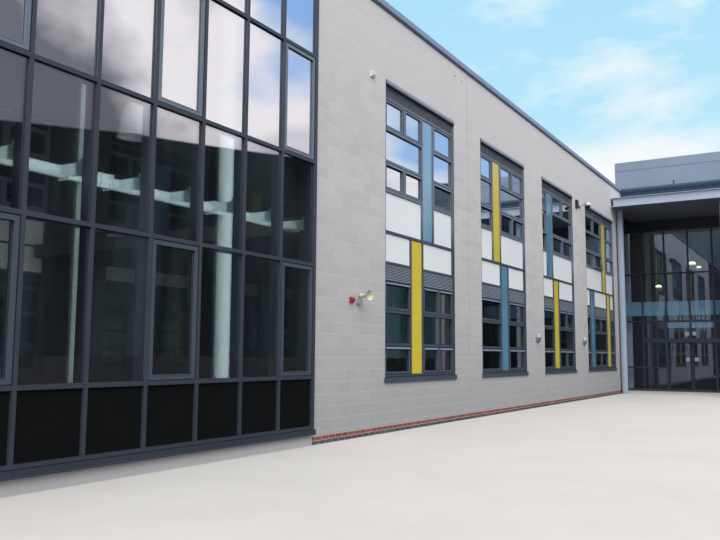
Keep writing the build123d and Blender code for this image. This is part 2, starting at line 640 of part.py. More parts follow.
def make_fittings():
    """Small fittings on the front wall's face; -Y points away from the wall."""
    lights = [Pos(x, -LIGHT_DEPTH / 2, z) * Rot(90, 0, 0) * Cylinder(LIGHT_DIAMETER / 2, LIGHT_DEPTH)
              for x, z in WALL_LIGHTS]
    save("wall_lights", lights)
    x, z = SPEAKER_PLACE
    horn = Cone(SPEAKER_THROAT / 2, SPEAKER_MOUTH / 2, SPEAKER_LENGTH)
    save("loudspeaker", Pos(x, -SPEAKER_LENGTH / 2, z) * Rot(90, 0, 0) * horn)
    boxes = [block(x - width / 2, x + width / 2, -depth, 0, z - height / 2, z + height / 2)
             for x, z, width, height, depth in ALARM_BOXES]
    save("alarm_boxes", boxes)
    x, z = CAMERA_PLACE
    plate_width, plate_depth, plate_height = CAMERA_PLATE
    plate = block(x - plate_width / 2, x + plate_width / 2, -plate_depth, 0,
                  z - plate_height / 2, z + plate_height / 2)
    slope = math.degrees(math.atan2(CAMERA_RISE, CAMERA_REACH))
    arm = Box(CAMERA_ARM_BAR, math.hypot(CAMERA_REACH, CAMERA_RISE), CAMERA_ARM_BAR)
    arm = Pos(x, -CAMERA_REACH / 2, z + CAMERA_RISE / 2) * Rot(-slope, 0, 0) * arm
    arm -= block(x - plate_width, x + plate_width, 0, WALL, z - plate_height, z + plate_height)
    dome_middle = z + CAMERA_RISE + CAMERA_DOME_LIFT - CAMERA_DOME_HEIGHT / 2
    dome = Pos(x, -CAMERA_REACH, dome_middle) * Cylinder(CAMERA_DOME / 2, CAMERA_DOME_HEIGHT)
    save("security_camera", plate + arm + dome)


os.makedirs("parts", exist_ok=True)
make_wing_shell()
make_windows()
make_curtain_wall()
make_hall_steel()
make_entrance_shell()
make_porch()
make_entrance_glazing()
make_doors()
make_canopy()
make_coping()
make_plant_room()
make_fittings()
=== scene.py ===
import math
import random

import bmesh
import bpy
from mathutils import Matrix, Vector


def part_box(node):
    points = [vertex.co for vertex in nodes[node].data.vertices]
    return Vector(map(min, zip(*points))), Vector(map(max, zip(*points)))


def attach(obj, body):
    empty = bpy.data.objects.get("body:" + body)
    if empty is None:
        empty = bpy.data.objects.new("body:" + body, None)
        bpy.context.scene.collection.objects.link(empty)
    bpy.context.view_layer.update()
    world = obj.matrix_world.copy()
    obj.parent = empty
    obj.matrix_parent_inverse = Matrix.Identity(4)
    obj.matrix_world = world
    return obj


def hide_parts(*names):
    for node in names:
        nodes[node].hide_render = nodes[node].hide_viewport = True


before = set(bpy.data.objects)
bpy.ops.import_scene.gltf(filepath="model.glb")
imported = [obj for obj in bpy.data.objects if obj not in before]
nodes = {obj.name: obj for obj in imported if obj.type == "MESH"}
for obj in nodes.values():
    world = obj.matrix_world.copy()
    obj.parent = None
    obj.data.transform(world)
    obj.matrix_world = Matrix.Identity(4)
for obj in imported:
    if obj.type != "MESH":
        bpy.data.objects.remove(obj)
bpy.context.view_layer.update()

# The camera stands before the wing's near end, at eye height. It looks along the front towards
# the entrance, turned a little to the building and slightly up.
CAMERA_PLACE = Vector((-22.605, -7.996, 1.616))
CAMERA_YAW, CAMERA_PITCH, CAMERA_ROLL = (math.radians(a) for a in (31.034, 6.239, 0.338))
ahead = Vector((math.cos(CAMERA_YAW) * math.cos(CAMERA_PITCH),
                math.sin(CAMERA_YAW) * math.cos(CAMERA_PITCH), math.sin(CAMERA_PITCH)))
level_right = Vector((math.sin(CAMERA_YAW), -math.cos(CAMERA_YAW), 0))
level_up = level_right.cross(ahead)
to_right = math.cos(CAMERA_ROLL) * level_right + math.sin(CAMERA_ROLL) * level_up
to_top = -math.sin(CAMERA_ROLL) * level_right + math.cos(CAMERA_ROLL) * level_up
facing_back = Matrix((to_right, to_top, -ahead)).transposed().to_4x4()
camera = bpy.data.objects.new("camera", bpy.data.cameras.new("camera"))
camera.data.sensor_width = 36
camera.data.lens = 39.038
camera.data.clip_end = 500
camera.matrix_world = Matrix.Translation(CAMERA_PLACE) @ facing_back
bpy.context.scene.collection.objects.link(camera)
bpy.context.scene.camera = camera
bpy.context.scene.view_settings.view_transform = "Standard"


# The sky and its light: a pale sky for the backdrop, a blue one with white banks over a plain dark
# side for what glass and metal show, and a white dome with one wide, soft lamp.
class Value:
    """A number or colour that changes from place to place. Arithmetic on it adds Math nodes."""

    def __init__(self, sheet, socket):
        self.sheet = sheet
        self.socket = socket

    def math(self, operation, *operands):
        return self.sheet.add("ShaderNodeMath", {"operation": operation}, dict(enumerate(operands)))

    def __add__(self, other):
        return self.math("ADD", self, other)

    def __sub__(self, other):
        return self.math("SUBTRACT", self, other)

    def __mul__(self, other):
        return self.math("MULTIPLY", self, other)

    def __gt__(self, other):
        return self.math("GREATER_THAN", self, other)

    def __lt__(self, other):
        return self.math("LESS_THAN", self, other)

    def or_more(self, other):
        """The larger of the two numbers."""
        return self.math("MAXIMUM", self, other)

    def clipped(self):
        """The number held between 0 and 1."""
        return self.math("MINIMUM", self.or_more(0.0), 1.0)

    def ramp(self, start, steepness):
        """0 at the start and up to 1 above it, or below it where the steepness is negative."""
        return ((self - start) * steepness).clipped()

    def within(self, low, high):
        """1 where the number lies between two others, and 0 elsewhere."""
        return (self > low) * (self < high)


class Sheet:
    """One node tree. Settings are made first, then the sockets get their values or links."""

    def __init__(self, tree):
        self.tree = tree

    def add(self, kind, settings=None, inputs=None, output=0):
        node = self.tree.nodes.new(kind)
        for name, value in (settings or {}).items():
            setattr(node, name, value)
        for name, value in (inputs or {}).items():
            if isinstance(value, Value):
                self.tree.links.new(value.socket, node.inputs[name])
            else:
                node.inputs[name].default_value = value
        return Value(self, node.outputs[output])

    def parts(self, vector):
        """The X, Y and Z numbers of a vector."""
        first = self.add("ShaderNodeSeparateXYZ", inputs={0: vector})
        return [Value(self, socket) for socket in first.socket.node.outputs]

    def stretched(self, vector, *scale):
        return self.add("ShaderNodeMapping", inputs={"Vector": vector, "Scale": scale})

    def blend(self, low, high, factor):
        """A colour that goes from low to high with the factor. Three numbers are screen values."""
        low, high = (paint(*end) if isinstance(end, tuple) and len(end) == 3 else end for end in (low, high))
        return self.add("ShaderNodeMix", {"data_type": "RGBA"}, {0: factor, 6: low, 7: high}, output=2)

    def noise(self, place, scale, detail=3.0, roughness=0.5):
        return self.add("ShaderNodeTexNoise", inputs={"Vector": place, "Scale": scale, "Detail": detail,
                                                      "Roughness": roughness})

    def end(self, kind, socket, value):
        """Leads a value to the tree's output node."""
        self.tree.links.new(value.socket, self.tree.nodes.new(kind).inputs[socket])


def paint(red, green, blue):
    """A colour written as its screen values, 0 to 255, in the linear numbers of a shader."""
    def linear(value):
        share = value / 255
        return share / 12.92 if share <= 0.04045 else ((share + 0.055) / 1.055) ** 2.4
    return (linear(red), linear(green), linear(blue), 1.0)


SKY_LIGHT = 1.0
world = bpy.data.worlds.new("sky")
world.use_nodes = True
bpy.context.scene.world = world
sky = Sheet(world.node_tree)
world.node_tree.nodes.clear()
direction = sky.add("ShaderNodeTexCoord", output="Generated")
towards, rise = sky.parts(direction)[1:]
cloud_map = sky.stretched(direction, 1.6, 1.6, 4.2)
drift = sky.noise(cloud_map, 2.3, 5.0, 0.55)
haze = ((rise - 0.265) * -22.0 + (drift - 0.5) * 3.5).clipped()
cloud = haze.or_more(drift.ramp(0.56, 6.0))
open_air = sky.blend((206, 242, 253), (158, 219, 250), rise.ramp(0.0, 1.7))
backdrop = sky.blend(open_air, (250, 252, 253), cloud)

# What glass mirrors is set out by how far a direction points away from the front, and how high.
BANKS_FROM, RAIN_FROM, HALL_FROM, STEP_TO = 0.462, 0.665, 0.50, 0.425
SIDE_HEIGHT, HALL_RISE, NEAR_RISE, STEP_HEIGHT = 0.152, 0.0945, 0.0185, 0.064
out_share = towards * -1.0
bank = sky.noise(cloud_map, 1.3, 4.0, 0.5)
wisps = sky.noise(sky.stretched(direction, 2.4, 2.4, 3.6), 2.4, 4.0, 0.5)
low_haze = rise.ramp(0.252, -30.0)
open_top = ((rise - 0.395) * 14.0 - (out_share - 0.56) * 9.0).clipped() * 1.3
broken = (bank - 0.5) * 4.0 + (wisps - 0.5) * 4.0
cover = ((out_share - BANKS_FROM) * 12.0 + broken + low_haze - open_top).clipped()
rain_front = out_share - RAIN_FROM - (rise - 0.28) * 0.25
rain_cloud = (rain_front * 18.0 + (wisps - 0.5) * 3.0).clipped()
mirrored_air = sky.blend((188, 218, 252), (142, 186, 244), rise.ramp(0.0, 2.0))
cloud_shade = ((wisps - 0.52) * 5.0 - (rise - 0.30) * 3.0).clipped()
white_cloud = sky.blend((255, 249, 252), (190, 182, 198), cloud_shade)
rain_grey = sky.blend((132, 131, 140), (96, 100, 108), bank)
mirrored_sky = sky.blend(mirrored_air, sky.blend(white_cloud, rain_grey, rain_cloud), cover)
upright_bands = sky.noise(sky.stretched(direction, 9.0, 9.0, 0.7), 2.0, 3.0, 0.5).ramp(0.42, 4.0)
before_hall = sky.blend((22, 27, 30), (52, 62, 66), upright_bands)
low_before_strips = sky.blend((44, 58, 62), (112, 150, 156), upright_bands)
high_before_strips = sky.blend((48, 54, 66), (104, 122, 142), upright_bands)
before_strips = sky.blend(low_before_strips, high_before_strips, rise.ramp(0.12, 20.0))
dark_side = sky.blend(before_strips, before_hall, out_share.ramp(HALL_FROM, 20.0))
side_top = out_share.ramp(HALL_FROM, 25.0) * HALL_RISE + out_share.ramp(0.56, 6.25) * NEAR_RISE
side_step = (out_share < STEP_TO) * STEP_HEIGHT
mirrored = sky.blend(dark_side, mirrored_sky, (rise - side_top - side_step).ramp(SIDE_HEIGHT, 400.0))
is_camera = sky.add("ShaderNodeLightPath", output="Is Camera Ray")
is_glossy = sky.add("ShaderNodeLightPath", output="Is Glossy Ray")
is_through = sky.add("ShaderNodeLightPath", output="Is Transmission Ray")
shown = sky.blend(mirrored, backdrop, is_camera)
seen = is_camera.or_more(is_glossy.or_more(is_through))
light = sky.blend((SKY_LIGHT, SKY_LIGHT, SKY_LIGHT * 1.03, 1.0), shown, seen)
sky.end("ShaderNodeOutputWorld", "Surface",
        sky.add("ShaderNodeBackground", inputs={"Color": light, "Strength": 1.0}))

lamp = bpy.data.objects.new("soft_lamp", bpy.data.lights.new("soft_lamp", "SUN"))
lamp.data.energy = 1.85
lamp.data.angle = math.radians(50)
lamp.rotation_euler = Vector((0.75, 0.62, -0.95)).to_track_quat("-Z", "Y").to_euler()
bpy.context.scene.collection.objects.link(lamp)


# The plain floor that the building stands on. It is pale to the camera, mid grey to the light that
# it throws back, and darker still to the glass that mirrors it.
class Finish(Sheet):
    """A surface finish: one Principled shader with its fixed values, and what varies over it."""

    def __init__(self, name, colour, **fixed):
        self.material = bpy.data.materials.new(name)
        self.material.use_nodes = True
        super().__init__(self.material.node_tree)
        self.shader = self.tree.nodes["Principled BSDF"]
        self.colour = colour
        self.shader.inputs["Base Color"].default_value = paint(*colour)
        for socket, value in fixed.items():
            self.shader.inputs[socket.replace("_", " ")].default_value = value
        self.place = self.add("ShaderNodeTexCoord", output="Object")

    def give(self, socket, value):
        self.tree.links.new(value.socket, self.shader.inputs[socket])

    def bump(self, height, distance, strength=1.0):
        self.give("Normal", self.add("ShaderNodeBump", inputs={"Height": height, "Distance": distance,
                                                              "Strength": strength}))

    def grain(self, scale, distance, strength, detail=3.0):
        """Fine bumps all over."""
        self.bump(self.noise(self.place, scale, detail), distance, strength)

    def tone(self):
        """A number of each block's or brick's own, 0 to 1."""
        return self.add("ShaderNodeAttribute", {"attribute_name": "tone"}, output="Fac")

    def weathered(self, darker, scale):
        """Soft patches of a second colour, as rain and dust leave."""
        return self.blend(self.colour, darker, self.noise(self.place, scale, 4.0, 0.6).ramp(0.42, 3.0))


def dress(finish, *names):
    """Gives a finish to CAD nodes."""
    for name in names:
        nodes[name].data.materials.clear()
        nodes[name].data.materials.append(finish.material)


floor_mesh = bpy.data.meshes.new("floor")
FLOOR_REACH = 400
floor_corners = [(x * FLOOR_REACH, y * FLOOR_REACH, 0) for x, y in ((-1, -1), (1, -1), (1, 1), (-1, 1))]
floor_mesh.from_pydata(floor_corners, [], [(0, 1, 2, 3)])
floor = bpy.data.objects.new("floor", floor_mesh)
bpy.context.scene.collection.objects.link(floor)
ground = Finish("pale_floor", (208, 205, 200), Roughness=0.8, Specular_IOR_Level=0.0)
seen_directly = ground.add("ShaderNodeLightPath", output="Is Camera Ray")
pale_ground = ground.weathered((202, 199, 194), 0.6)
seen_in_glass = ground.add("ShaderNodeLightPath", output="Is Glossy Ray")
unseen_ground = ground.blend((104, 103, 101), (34, 35, 37), seen_in_glass)
ground.give("Base Color", ground.blend(unseen_ground, pale_ground, seen_directly))
floor_mesh.materials.append(ground.material)


# Walls: cavity walls faced in fair-faced concrete blocks, pale grey, in stretcher bond. The CAD
# walls carry the pale mortar, plain, and darker indoors as a painted shade for the dim rooms, and
# each block is laid on them.
def painted_shade_at_foot(finish, colour, foot_shade):
    """The wall's colour, a little darker over its lower metres: a painted shade near the ground."""
    return finish.blend(colour, foot_shade, finish.parts(finish.place)[2].ramp(5.0, -0.2) * 0.8)


mortar = Finish("pale_mortar", (222, 221, 220), Roughness=0.95)
# Painted shade: the mortar outside darkens towards the foot of the wall.
outdoors = painted_shade_at_foot(mortar, mortar.weathered((212, 211, 210), 3.0), (184, 184, 186))
WING_ROOMS, BLOCK_ROOMS = ((-19.49, 14.08), (0.16, 9.04)), ((17.1, 19.49), (-8.79, 8.79))
east, north = mortar.parts(mortar.place)[:2]
wing_rooms, block_rooms = (east.within(*wide) * north.within(*deep)
                           for wide, deep in (WING_ROOMS, BLOCK_ROOMS))
# Painted shade: inside the rooms the mortar is dark grey, for their dim light.
mortar.give("Base Color", mortar.blend(outdoors, (74, 75, 78), wing_rooms.or_more(block_rooms)))
mortar.grain(220.0, 0.002, 0.6)
dress(mortar, "front_wall_piers", "front_wall_bands", "back_wall_piers", "back_wall_bands", "left_end_wall",
      "right_end_wall", "entrance_back_wall", "entrance_side_wall", "porch_return_wall")


def solid_boxes(name):
    """The lowest and highest corner of each separate solid in a CAD node."""
    mesh = bmesh.new()
    mesh.from_mesh(nodes[name].data)
    bmesh.ops.remove_doubles(mesh, verts=mesh.verts, dist=1e-5)
    left = set(mesh.verts)
    boxes = []
    while left:
        reached = [left.pop()]
        island = []
        while reached:
            vertex = reached.pop()
            island.append(vertex.co.copy())
            for edge in vertex.link_edges:
                other = edge.other_vert(vertex)
                if other in left:
                    left.remove(other)
                    reached.append(other)
        boxes.append((Vector([min(p[i] for p in island) for i in range(3)]),
                      Vector([max(p[i] for p in island) for i in range(3)])))
    mesh.free()
    return sorted(boxes, key=lambda box: tuple(box[0]))


def unit_of(mesh):
    """The object that copies are made of."""
    made = bpy.data.meshes.new("unit")
    mesh.to_mesh(made)
    mesh.free()
    return bpy.data.objects.new("unit", made)


def unit_box(width, depth, height, chamfer=0.0, all_edges=False):
    """A box about the origin, with its front edges, towards -Y, or all its edges chamfered."""
    mesh = bmesh.new()
    bmesh.ops.create_cube(mesh, size=1.0)
    bmesh.ops.scale(mesh, vec=(width, depth, height), verts=mesh.verts)
    if chamfer:
        edges = [e for e in mesh.edges if all_edges or all(v.co.y < 0 for v in e.verts)]
        bmesh.ops.bevel(mesh, geom=edges, offset=chamfer, segments=1, affect="EDGES", profile=0.5)
    return unit_of(mesh)


def set_out_tree():
    """Puts a copy of one unit at each point, turned and sized by the point's own values."""
    tree = bpy.data.node_groups.new("set_out", "GeometryNodeTree")
    tree.is_modifier = True
    for name, kind in (("Geometry", "Geometry"), ("Unit", "Object"), ("Finish", "Material")):
        tree.interface.new_socket(name, in_out="INPUT", socket_type=f"NodeSocket{kind}")
    tree.interface.new_socket("Geometry", in_out="OUTPUT", socket_type="NodeSocketGeometry")
    sheet = Sheet(tree)
    points = sheet.add("NodeGroupInput", output="Geometry")
    unit, finish = (Value(sheet, points.socket.node.outputs[name]) for name in ("Unit", "Finish"))
    turn, size = (sheet.add("GeometryNodeInputNamedAttribute", {"data_type": "FLOAT_VECTOR"}, {"Name": name},
                            "Attribute") for name in ("turn", "size"))
    shape = sheet.add("GeometryNodeObjectInfo", inputs={"Object": unit}, output="Geometry")
    rotation = sheet.add("FunctionNodeEulerToRotation", inputs={0: turn})
    copies = sheet.add("GeometryNodeInstanceOnPoints",
                       inputs={"Points": points, "Instance": shape, "Rotation": rotation, "Scale": size})
    joined = sheet.add("GeometryNodeRealizeInstances", inputs={"Geometry": copies})
    sheet.end("NodeGroupOutput", "Geometry",
              sheet.add("GeometryNodeSetMaterial", inputs={"Geometry": joined, "Material": finish}))
    return tree


set_out = set_out_tree()
draw = random.Random(11)
AS_DRAWN = ((0, 0, 0), (1, 1, 1))


def copies_of(name, unit, places, finish, body="building"):
    """One piece made of copies of a unit. Each place is a point, a turn and a size, or a point."""
    places = [p if isinstance(p, tuple) else (p, *AS_DRAWN) for p in places]
    mesh = bpy.data.meshes.new(name)
    mesh.from_pydata([p[0] for p in places], [], [])
    for field, index in (("turn", 1), ("size", 2)):
        values = mesh.attributes.new(field, "FLOAT_VECTOR", "POINT")
        values.data.foreach_set("vector", [number for p in places for number in p[index]])
    tones = mesh.attributes.new("tone", "FLOAT", "POINT")
    tones.data.foreach_set("value", [draw.random() for _ in places])
    piece = bpy.data.objects.new(name, mesh)
    bpy.context.scene.collection.objects.link(piece)
    modifier = piece.modifiers.new("set out", "NODES")
    modifier.node_group = set_out
    inputs = {item.name: item.identifier for item in set_out.interface.items_tree if item.in_out == "INPUT"}
    modifier[inputs["Unit"]] = unit
    modifier[inputs["Finish"]] = finish.material
    bpy.context.view_layer.update()
    made = bpy.data.meshes.new_from_object(piece.evaluated_get(bpy.context.evaluated_depsgraph_get()))
    piece.modifiers.clear()
    piece.data = made
    made.name = name
    bpy.data.objects.remove(unit)
    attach(piece, body)
    return piece


BLOCK_LENGTH, COURSE_HEIGHT, JOINT, PROUD = 0.45, 0.225, 0.010, 0.002
WALL_TOP = 9.225
BRICK_LENGTH, BRICK_COURSE = 0.225, 0.075
BRICK_COURSES = 2
FOOT = BRICK_COURSES * BRICK_COURSE
SMALLEST_CUT, SLACK = 0.03, 1e-4
ARRIS = 0.002
WING_LEFT, WING_FRONT, WING_BACK, MIDWAY = -19.8, 0.1, 9.1, 1.0
BLOCK_FAR, BLOCK_SIDE = 19.8, -9.1
ENTRANCE_LEFT, GLASS_LINE = 14.4, 16.95
PORCH_DEPTH = GLASS_LINE - ENTRANCE_LEFT
SILL_LEVEL, HEAD_LEVEL = 1.125, 7.65
PORCH_WALLS_TOP, PORCH_RETURN, WALL_THICKNESS = 8.22, 0.77, 0.33


def clear_of(spans, x0, x1):
    """The spans without what lies between x0 and x1."""
    cut = [piece for a, b in spans for piece in ((a, min(b, x0)), (max(a, x1), b))]
    return [(a, b) for a, b in cut if b - a > SLACK]


def laid(start, turn, length, openings, module, low, high, shift):
    """Places for one wall's courses between two heights: cut where an opening or end comes."""
    along = Matrix.Rotation(turn, 3, "Z") @ Vector((1, 0, 0))
    places = []
    height = COURSE_HEIGHT if module == BLOCK_LENGTH else BRICK_COURSE
    level, course = low, shift
    while level < high - SLACK:
        top = min(level + height, high)
        spans = [(0.0, length)]
        for x0, x1, z0, z1 in openings:
            if level < z1 - SLACK and top > z0 + SLACK:
                spans = clear_of(spans, x0, x1)
        step = -module / 2 if course % 2 else 0.0
        while step < length:
            for a, b in spans:
                x0, x1 = max(step, a), min(step + module, b)
                if x1 - x0 > SMALLEST_CUT:
                    middle = start + along * (x0 + x1) / 2 + Vector((0, 0, (level + top) / 2))
                    size = ((x1 - x0 - JOINT) / (module - JOINT), 1, (top - level - JOINT) / (height - JOINT))
                    places.append((middle, (0, 0, turn), size))
            step += module
        level, course = top, course + 1
    return places


hall_box, strip_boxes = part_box("curtain_wall_frame"), solid_boxes("window_frames")
front_openings = [(hall_box[0].x - WING_LEFT, hall_box[1].x - WING_LEFT, 0.0, WALL_TOP)]
front_openings += [(low.x - WING_LEFT, high.x - WING_LEFT, SILL_LEVEL, HEAD_LEVEL)
                   for low, high in strip_boxes if low.y < MIDWAY]
back_openings = [(BLOCK_FAR - high.x, BLOCK_FAR - low.x, SILL_LEVEL, HEAD_LEVEL)
                 for low, high in strip_boxes if low.y > MIDWAY]
walls = {
    "front": (Vector((WING_LEFT, WING_FRONT, 0)), 0, ENTRANCE_LEFT - WING_LEFT, front_openings),
    "back": (Vector((BLOCK_FAR, WING_BACK, 0)), math.pi, BLOCK_FAR - WING_LEFT, back_openings),
    "left_end": (Vector((WING_LEFT, WING_BACK, 0)), -math.pi / 2, WING_BACK - WING_FRONT, []),
    "far_end": (Vector((BLOCK_FAR, BLOCK_SIDE, 0)), math.pi / 2, WING_BACK - BLOCK_SIDE, []),
    "entrance_side": (Vector((ENTRANCE_LEFT, BLOCK_SIDE, 0)), 0, BLOCK_FAR - ENTRANCE_LEFT, []),
    "porch_left": (Vector((ENTRANCE_LEFT, WING_FRONT + PORCH_RETURN, 0)), 0, PORCH_DEPTH, []),
    "porch_corner": (Vector((ENTRANCE_LEFT, WING_FRONT, 0)), math.pi / 2, PORCH_RETURN, []),
    "porch_right": (Vector((GLASS_LINE, BLOCK_SIDE + WALL_THICKNESS, 0)), math.pi, PORCH_DEPTH, []),
    "side_end": (Vector((ENTRANCE_LEFT, BLOCK_SIDE + WALL_THICKNESS, 0)), -math.pi / 2, WALL_THICKNESS, []),
}

faced = Finish("fair_faced_blocks", (199, 197, 196), Roughness=0.88)
speckle = faced.noise(faced.place, 160.0, 2.0, 0.7)
streaks = faced.noise(faced.stretched(faced.place, 1.0, 1.0, 0.18), 1.1, 4.0)
tinted = faced.blend((196, 194, 194), (206, 204, 203), faced.tone())
marked = faced.blend(tinted, (189, 188, 188), streaks.ramp(0.5, 2.2) * 0.5)
speckled = faced.blend(marked, (176, 175, 174), speckle.ramp(0.55, 4.0) * 0.3)
# Painted light: the blocks turn lighter from six metres up.
painted_light_top = faced.parts(faced.place)[2].ramp(6.0, 0.4) * 0.8
blocks_lit_at_top = faced.blend(speckled, (214, 214, 216), painted_light_top)
# Painted shade: the blocks darken towards the foot of the wall.
faced.give("Base Color", painted_shade_at_foot(faced, blocks_lit_at_top, (161, 161, 164)))
faced.bump(faced.noise(faced.place, 300.0, 4.0, 0.6), 0.0015, 0.7)

red_brick = Finish("red_facing_brick", (150, 78, 58), Roughness=0.9)
red_brick.give("Base Color", red_brick.blend((136, 68, 52), (166, 92, 70), red_brick.tone()))
red_brick.grain(180.0, 0.002, 0.8, 4.0)
# The lowest course is dark grey for the dark strip along the wall's foot, partly a painted shade.
dark_brick = Finish("dark_foot_course_brick", (84, 84, 88), Roughness=0.6)
dark_brick.give("Base Color", dark_brick.blend((74, 75, 80), (98, 96, 98), dark_brick.tone()))
dark_brick.grain(160.0, 0.0015, 0.6, 4.0)

brick_places = [[], []]
for wall, (start, turn, length, openings) in walls.items():
    top = PORCH_WALLS_TOP if wall.startswith("porch") else WALL_TOP
    block = unit_box(BLOCK_LENGTH - JOINT, 2 * PROUD, COURSE_HEIGHT - JOINT, ARRIS)
    places = laid(start, turn, length, openings, BLOCK_LENGTH, FOOT, COURSE_HEIGHT, 0)
    places += laid(start, turn, length, openings, BLOCK_LENGTH, COURSE_HEIGHT, top, 1)
    copies_of(f"{wall}_blocks", block, places, faced)
    for course in range(BRICK_COURSES):
        brick_places[course] += laid(start, turn, length, openings, BRICK_LENGTH, course * BRICK_COURSE,
                                     (course + 1) * BRICK_COURSE, course)
foot_courses = (("foot_course_dark_bricks", dark_brick), ("foot_course_red_bricks", red_brick))
for course, (name, finish) in enumerate(foot_courses):
    brick = unit_box(BRICK_LENGTH - JOINT, 2 * PROUD, BRICK_COURSE - JOINT, ARRIS)
    copies_of(name, brick, brick_places[course], finish)


# Floors and roofs: concrete slabs, and decks under a grey membrane behind the coping.
# The slabs' dark grey is partly a painted shade, for the dim rooms that they are seen in.
concrete = Finish("floor_concrete", (84, 84, 83), Roughness=0.85)
concrete.give("Base Color", concrete.weathered((74, 74, 73), 0.8))
concrete.grain(90.0, 0.001, 0.5, 4.0)
dress(concrete, "ground_floor", "first_floor", "entrance_floors", "link_floors", "entrance_threshold")
membrane = Finish("roof_membrane", (112, 114, 117), Roughness=0.9)
membrane.give("Base Color", membrane.weathered((92, 94, 97), 0.5))
membrane.grain(60.0, 0.002, 0.5, 4.0)
dress(membrane, "roof_deck", "entrance_roof")


# Movement joint: a sealed upright gap in the blockwork between the first two window strips.
def extruded(points, length=1.0):
    """A bar along X with this outline in Y and Z, closed at its ends."""
    mesh = bmesh.new()
    ends = [[mesh.verts.new((x, y, z)) for y, z in points] for x in (-length / 2, length / 2)]
    for i in range(len(points)):
        j = (i + 1) % len(points)
        mesh.faces.new((ends[0][i], ends[1][i], ends[1][j], ends[0][j]))
    mesh.faces.new(ends[0])
    mesh.faces.new(ends[1])
    bmesh.ops.recalc_face_normals(mesh, faces=mesh.faces)
    return unit_of(mesh)


UPRIGHT = -math.pi / 2


def level_strip(middle, turn, length):
    """The place of a level strip on a wall with this turn."""
    return (middle, (0, 0, turn), (length, 1, 1))


def upright_strip(middle, turn, length):
    """The place of an upright strip on a wall with this turn."""
    return (middle, (0, UPRIGHT, turn), (length, 1, 1))


MOVEMENT_JOINT_X = -3.6
sealant = Finish("grey_sealant", (172, 171, 170), Roughness=0.7)
sealant.grain(150.0, 0.001, 0.4)
joint_height = WALL_TOP - FOOT
joint_middle = Vector((MOVEMENT_JOINT_X, WING_FRONT, FOOT + joint_height / 2))
copies_of("movement_joint", extruded([(0.002, -0.006), (-0.0045, -0.006), (-0.0045, 0.006), (0.002, 0.006)]),
          [upright_strip(joint_middle, 0, joint_height)], sealant)


# Coping: pressed metal in slate blue-grey along the top of every wall, with a dark gap under its
# lip, and the lip's lower fold darker as a painted shadow. Over the porch it is slimmer, and the
# band's top strip comes up to it.
def powder_coat(name, colour, second, roughness, patch=0.7, **fixed):
    """Satin powder coat: fine orange peel, faint dust, and a roughness that wanders a little."""
    coat = Finish(name, colour, **fixed)
    coat.give("Base Color", coat.weathered(second, patch))
    coat.give("Roughness", coat.noise(coat.place, 2.5, 3.0) * 0.14 + (roughness - 0.07))
    coat.grain(420.0, 0.0004, 0.35, 2.0)
    return coat


def strip_unit(width, proud):
    """A strip of unit length that stands a little proud of the face that it lies on."""
    edge = min(width, proud) / 3
    half = width / 2
    return extruded([(0.001, -half), (0.001, half), (edge - proud, half), (-proud, half - edge),
                     (-proud, edge - half), (edge - proud, -half)])


BACK_TURN, ENTRANCE_TURN = math.pi, -math.pi / 2
rubber = Finish("black_rubber", (28, 30, 34), Roughness=0.6)
rubber.grain(90.0, 0.0005, 0.3)


def strips(name, width, proud, places, finish=rubber, body="building"):
    """One piece made of strips of the same width, each as long as its place says."""
    return copies_of(name, strip_unit(width, proud), places, finish, body)


coping_coat = powder_coat("coping_coat", (136, 149, 178), (126, 138, 166), 0.32)
band_coat = powder_coat("band_coat", (46, 60, 84), (41, 54, 76), 0.45)
porch_coping_coat = powder_coat("porch_coping_coat", (78, 100, 116), (71, 92, 107), 0.35)
# Painted shadow: the dark coat on the lip's lower fold. The post on the band's coping has the same coat.
fold_shadow_and_post_coat = powder_coat("coping_fold_shadow_and_post_coat", (44, 49, 62), (39, 44, 56), 0.4)
dress(coping_coat, "wall_coping")
dress(band_coat, "entrance_parapet")
coping_low, coping_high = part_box("wall_coping")
LIP, LIP_GAP, LOWER_FOLD = 0.045, 0.014, 0.045
gap_lines, lower_fold_shadows = [], []
for wall in ("front", "back", "left_end", "far_end", "entrance_side"):
    start, turn, length, openings = walls[wall]
    spin = Matrix.Rotation(turn, 3, "Z")
    middle = start + spin @ Vector((length / 2, 0, WALL_TOP))
    gap_lines.append(level_strip(middle - Vector((0, 0, LIP_GAP / 2)), turn, length))
    lower_fold_shadows.append(level_strip(middle + spin @ Vector((0, -LIP, LOWER_FOLD / 2)), turn, length))
strips("coping_shadow_gaps", LIP_GAP, 0.004, gap_lines, rubber)
strips("coping_lower_folds", LOWER_FOLD, 0.003, lower_fold_shadows, fold_shadow_and_post_coat)
porch_run = WING_FRONT - LIP - coping_low.y
porch_edge = Vector((ENTRANCE_LEFT - LIP, (WING_FRONT - LIP + coping_low.y) / 2, 0))
# The black strip between the band's top strip and the porch coping is a painted shadow.
PORCH_EDGES = (("band_top_strip", 9.225, 9.306, 0.003, band_coat, "parapet_panel"),
               ("band_top_gap", 9.306, 9.314, 0.001, rubber, "parapet_panel"),
               ("porch_coping_edge", 9.314, 9.402, 0.006, porch_coping_coat, "coping_metal"))
for name, low, high, proud, finish, slot in PORCH_EDGES:
    place = level_strip(porch_edge + Vector((0, 0, (low + high) / 2)), ENTRANCE_TURN, porch_run)
    strips(name, high - low, proud, [place], finish)


# Window frames: aluminium bars in dark blue-grey powder coat, a little lighter in the upper storey as a
# painted sheen.
# A black line runs round each frame, a black painted shadow runs where a sash closes, and every pane has its
# bead.
frame_coat = powder_coat("frame_coat", (74, 85, 99), (67, 77, 90), 0.4)
frame_without_sheen = frame_coat.weathered((67, 77, 90), 0.7)
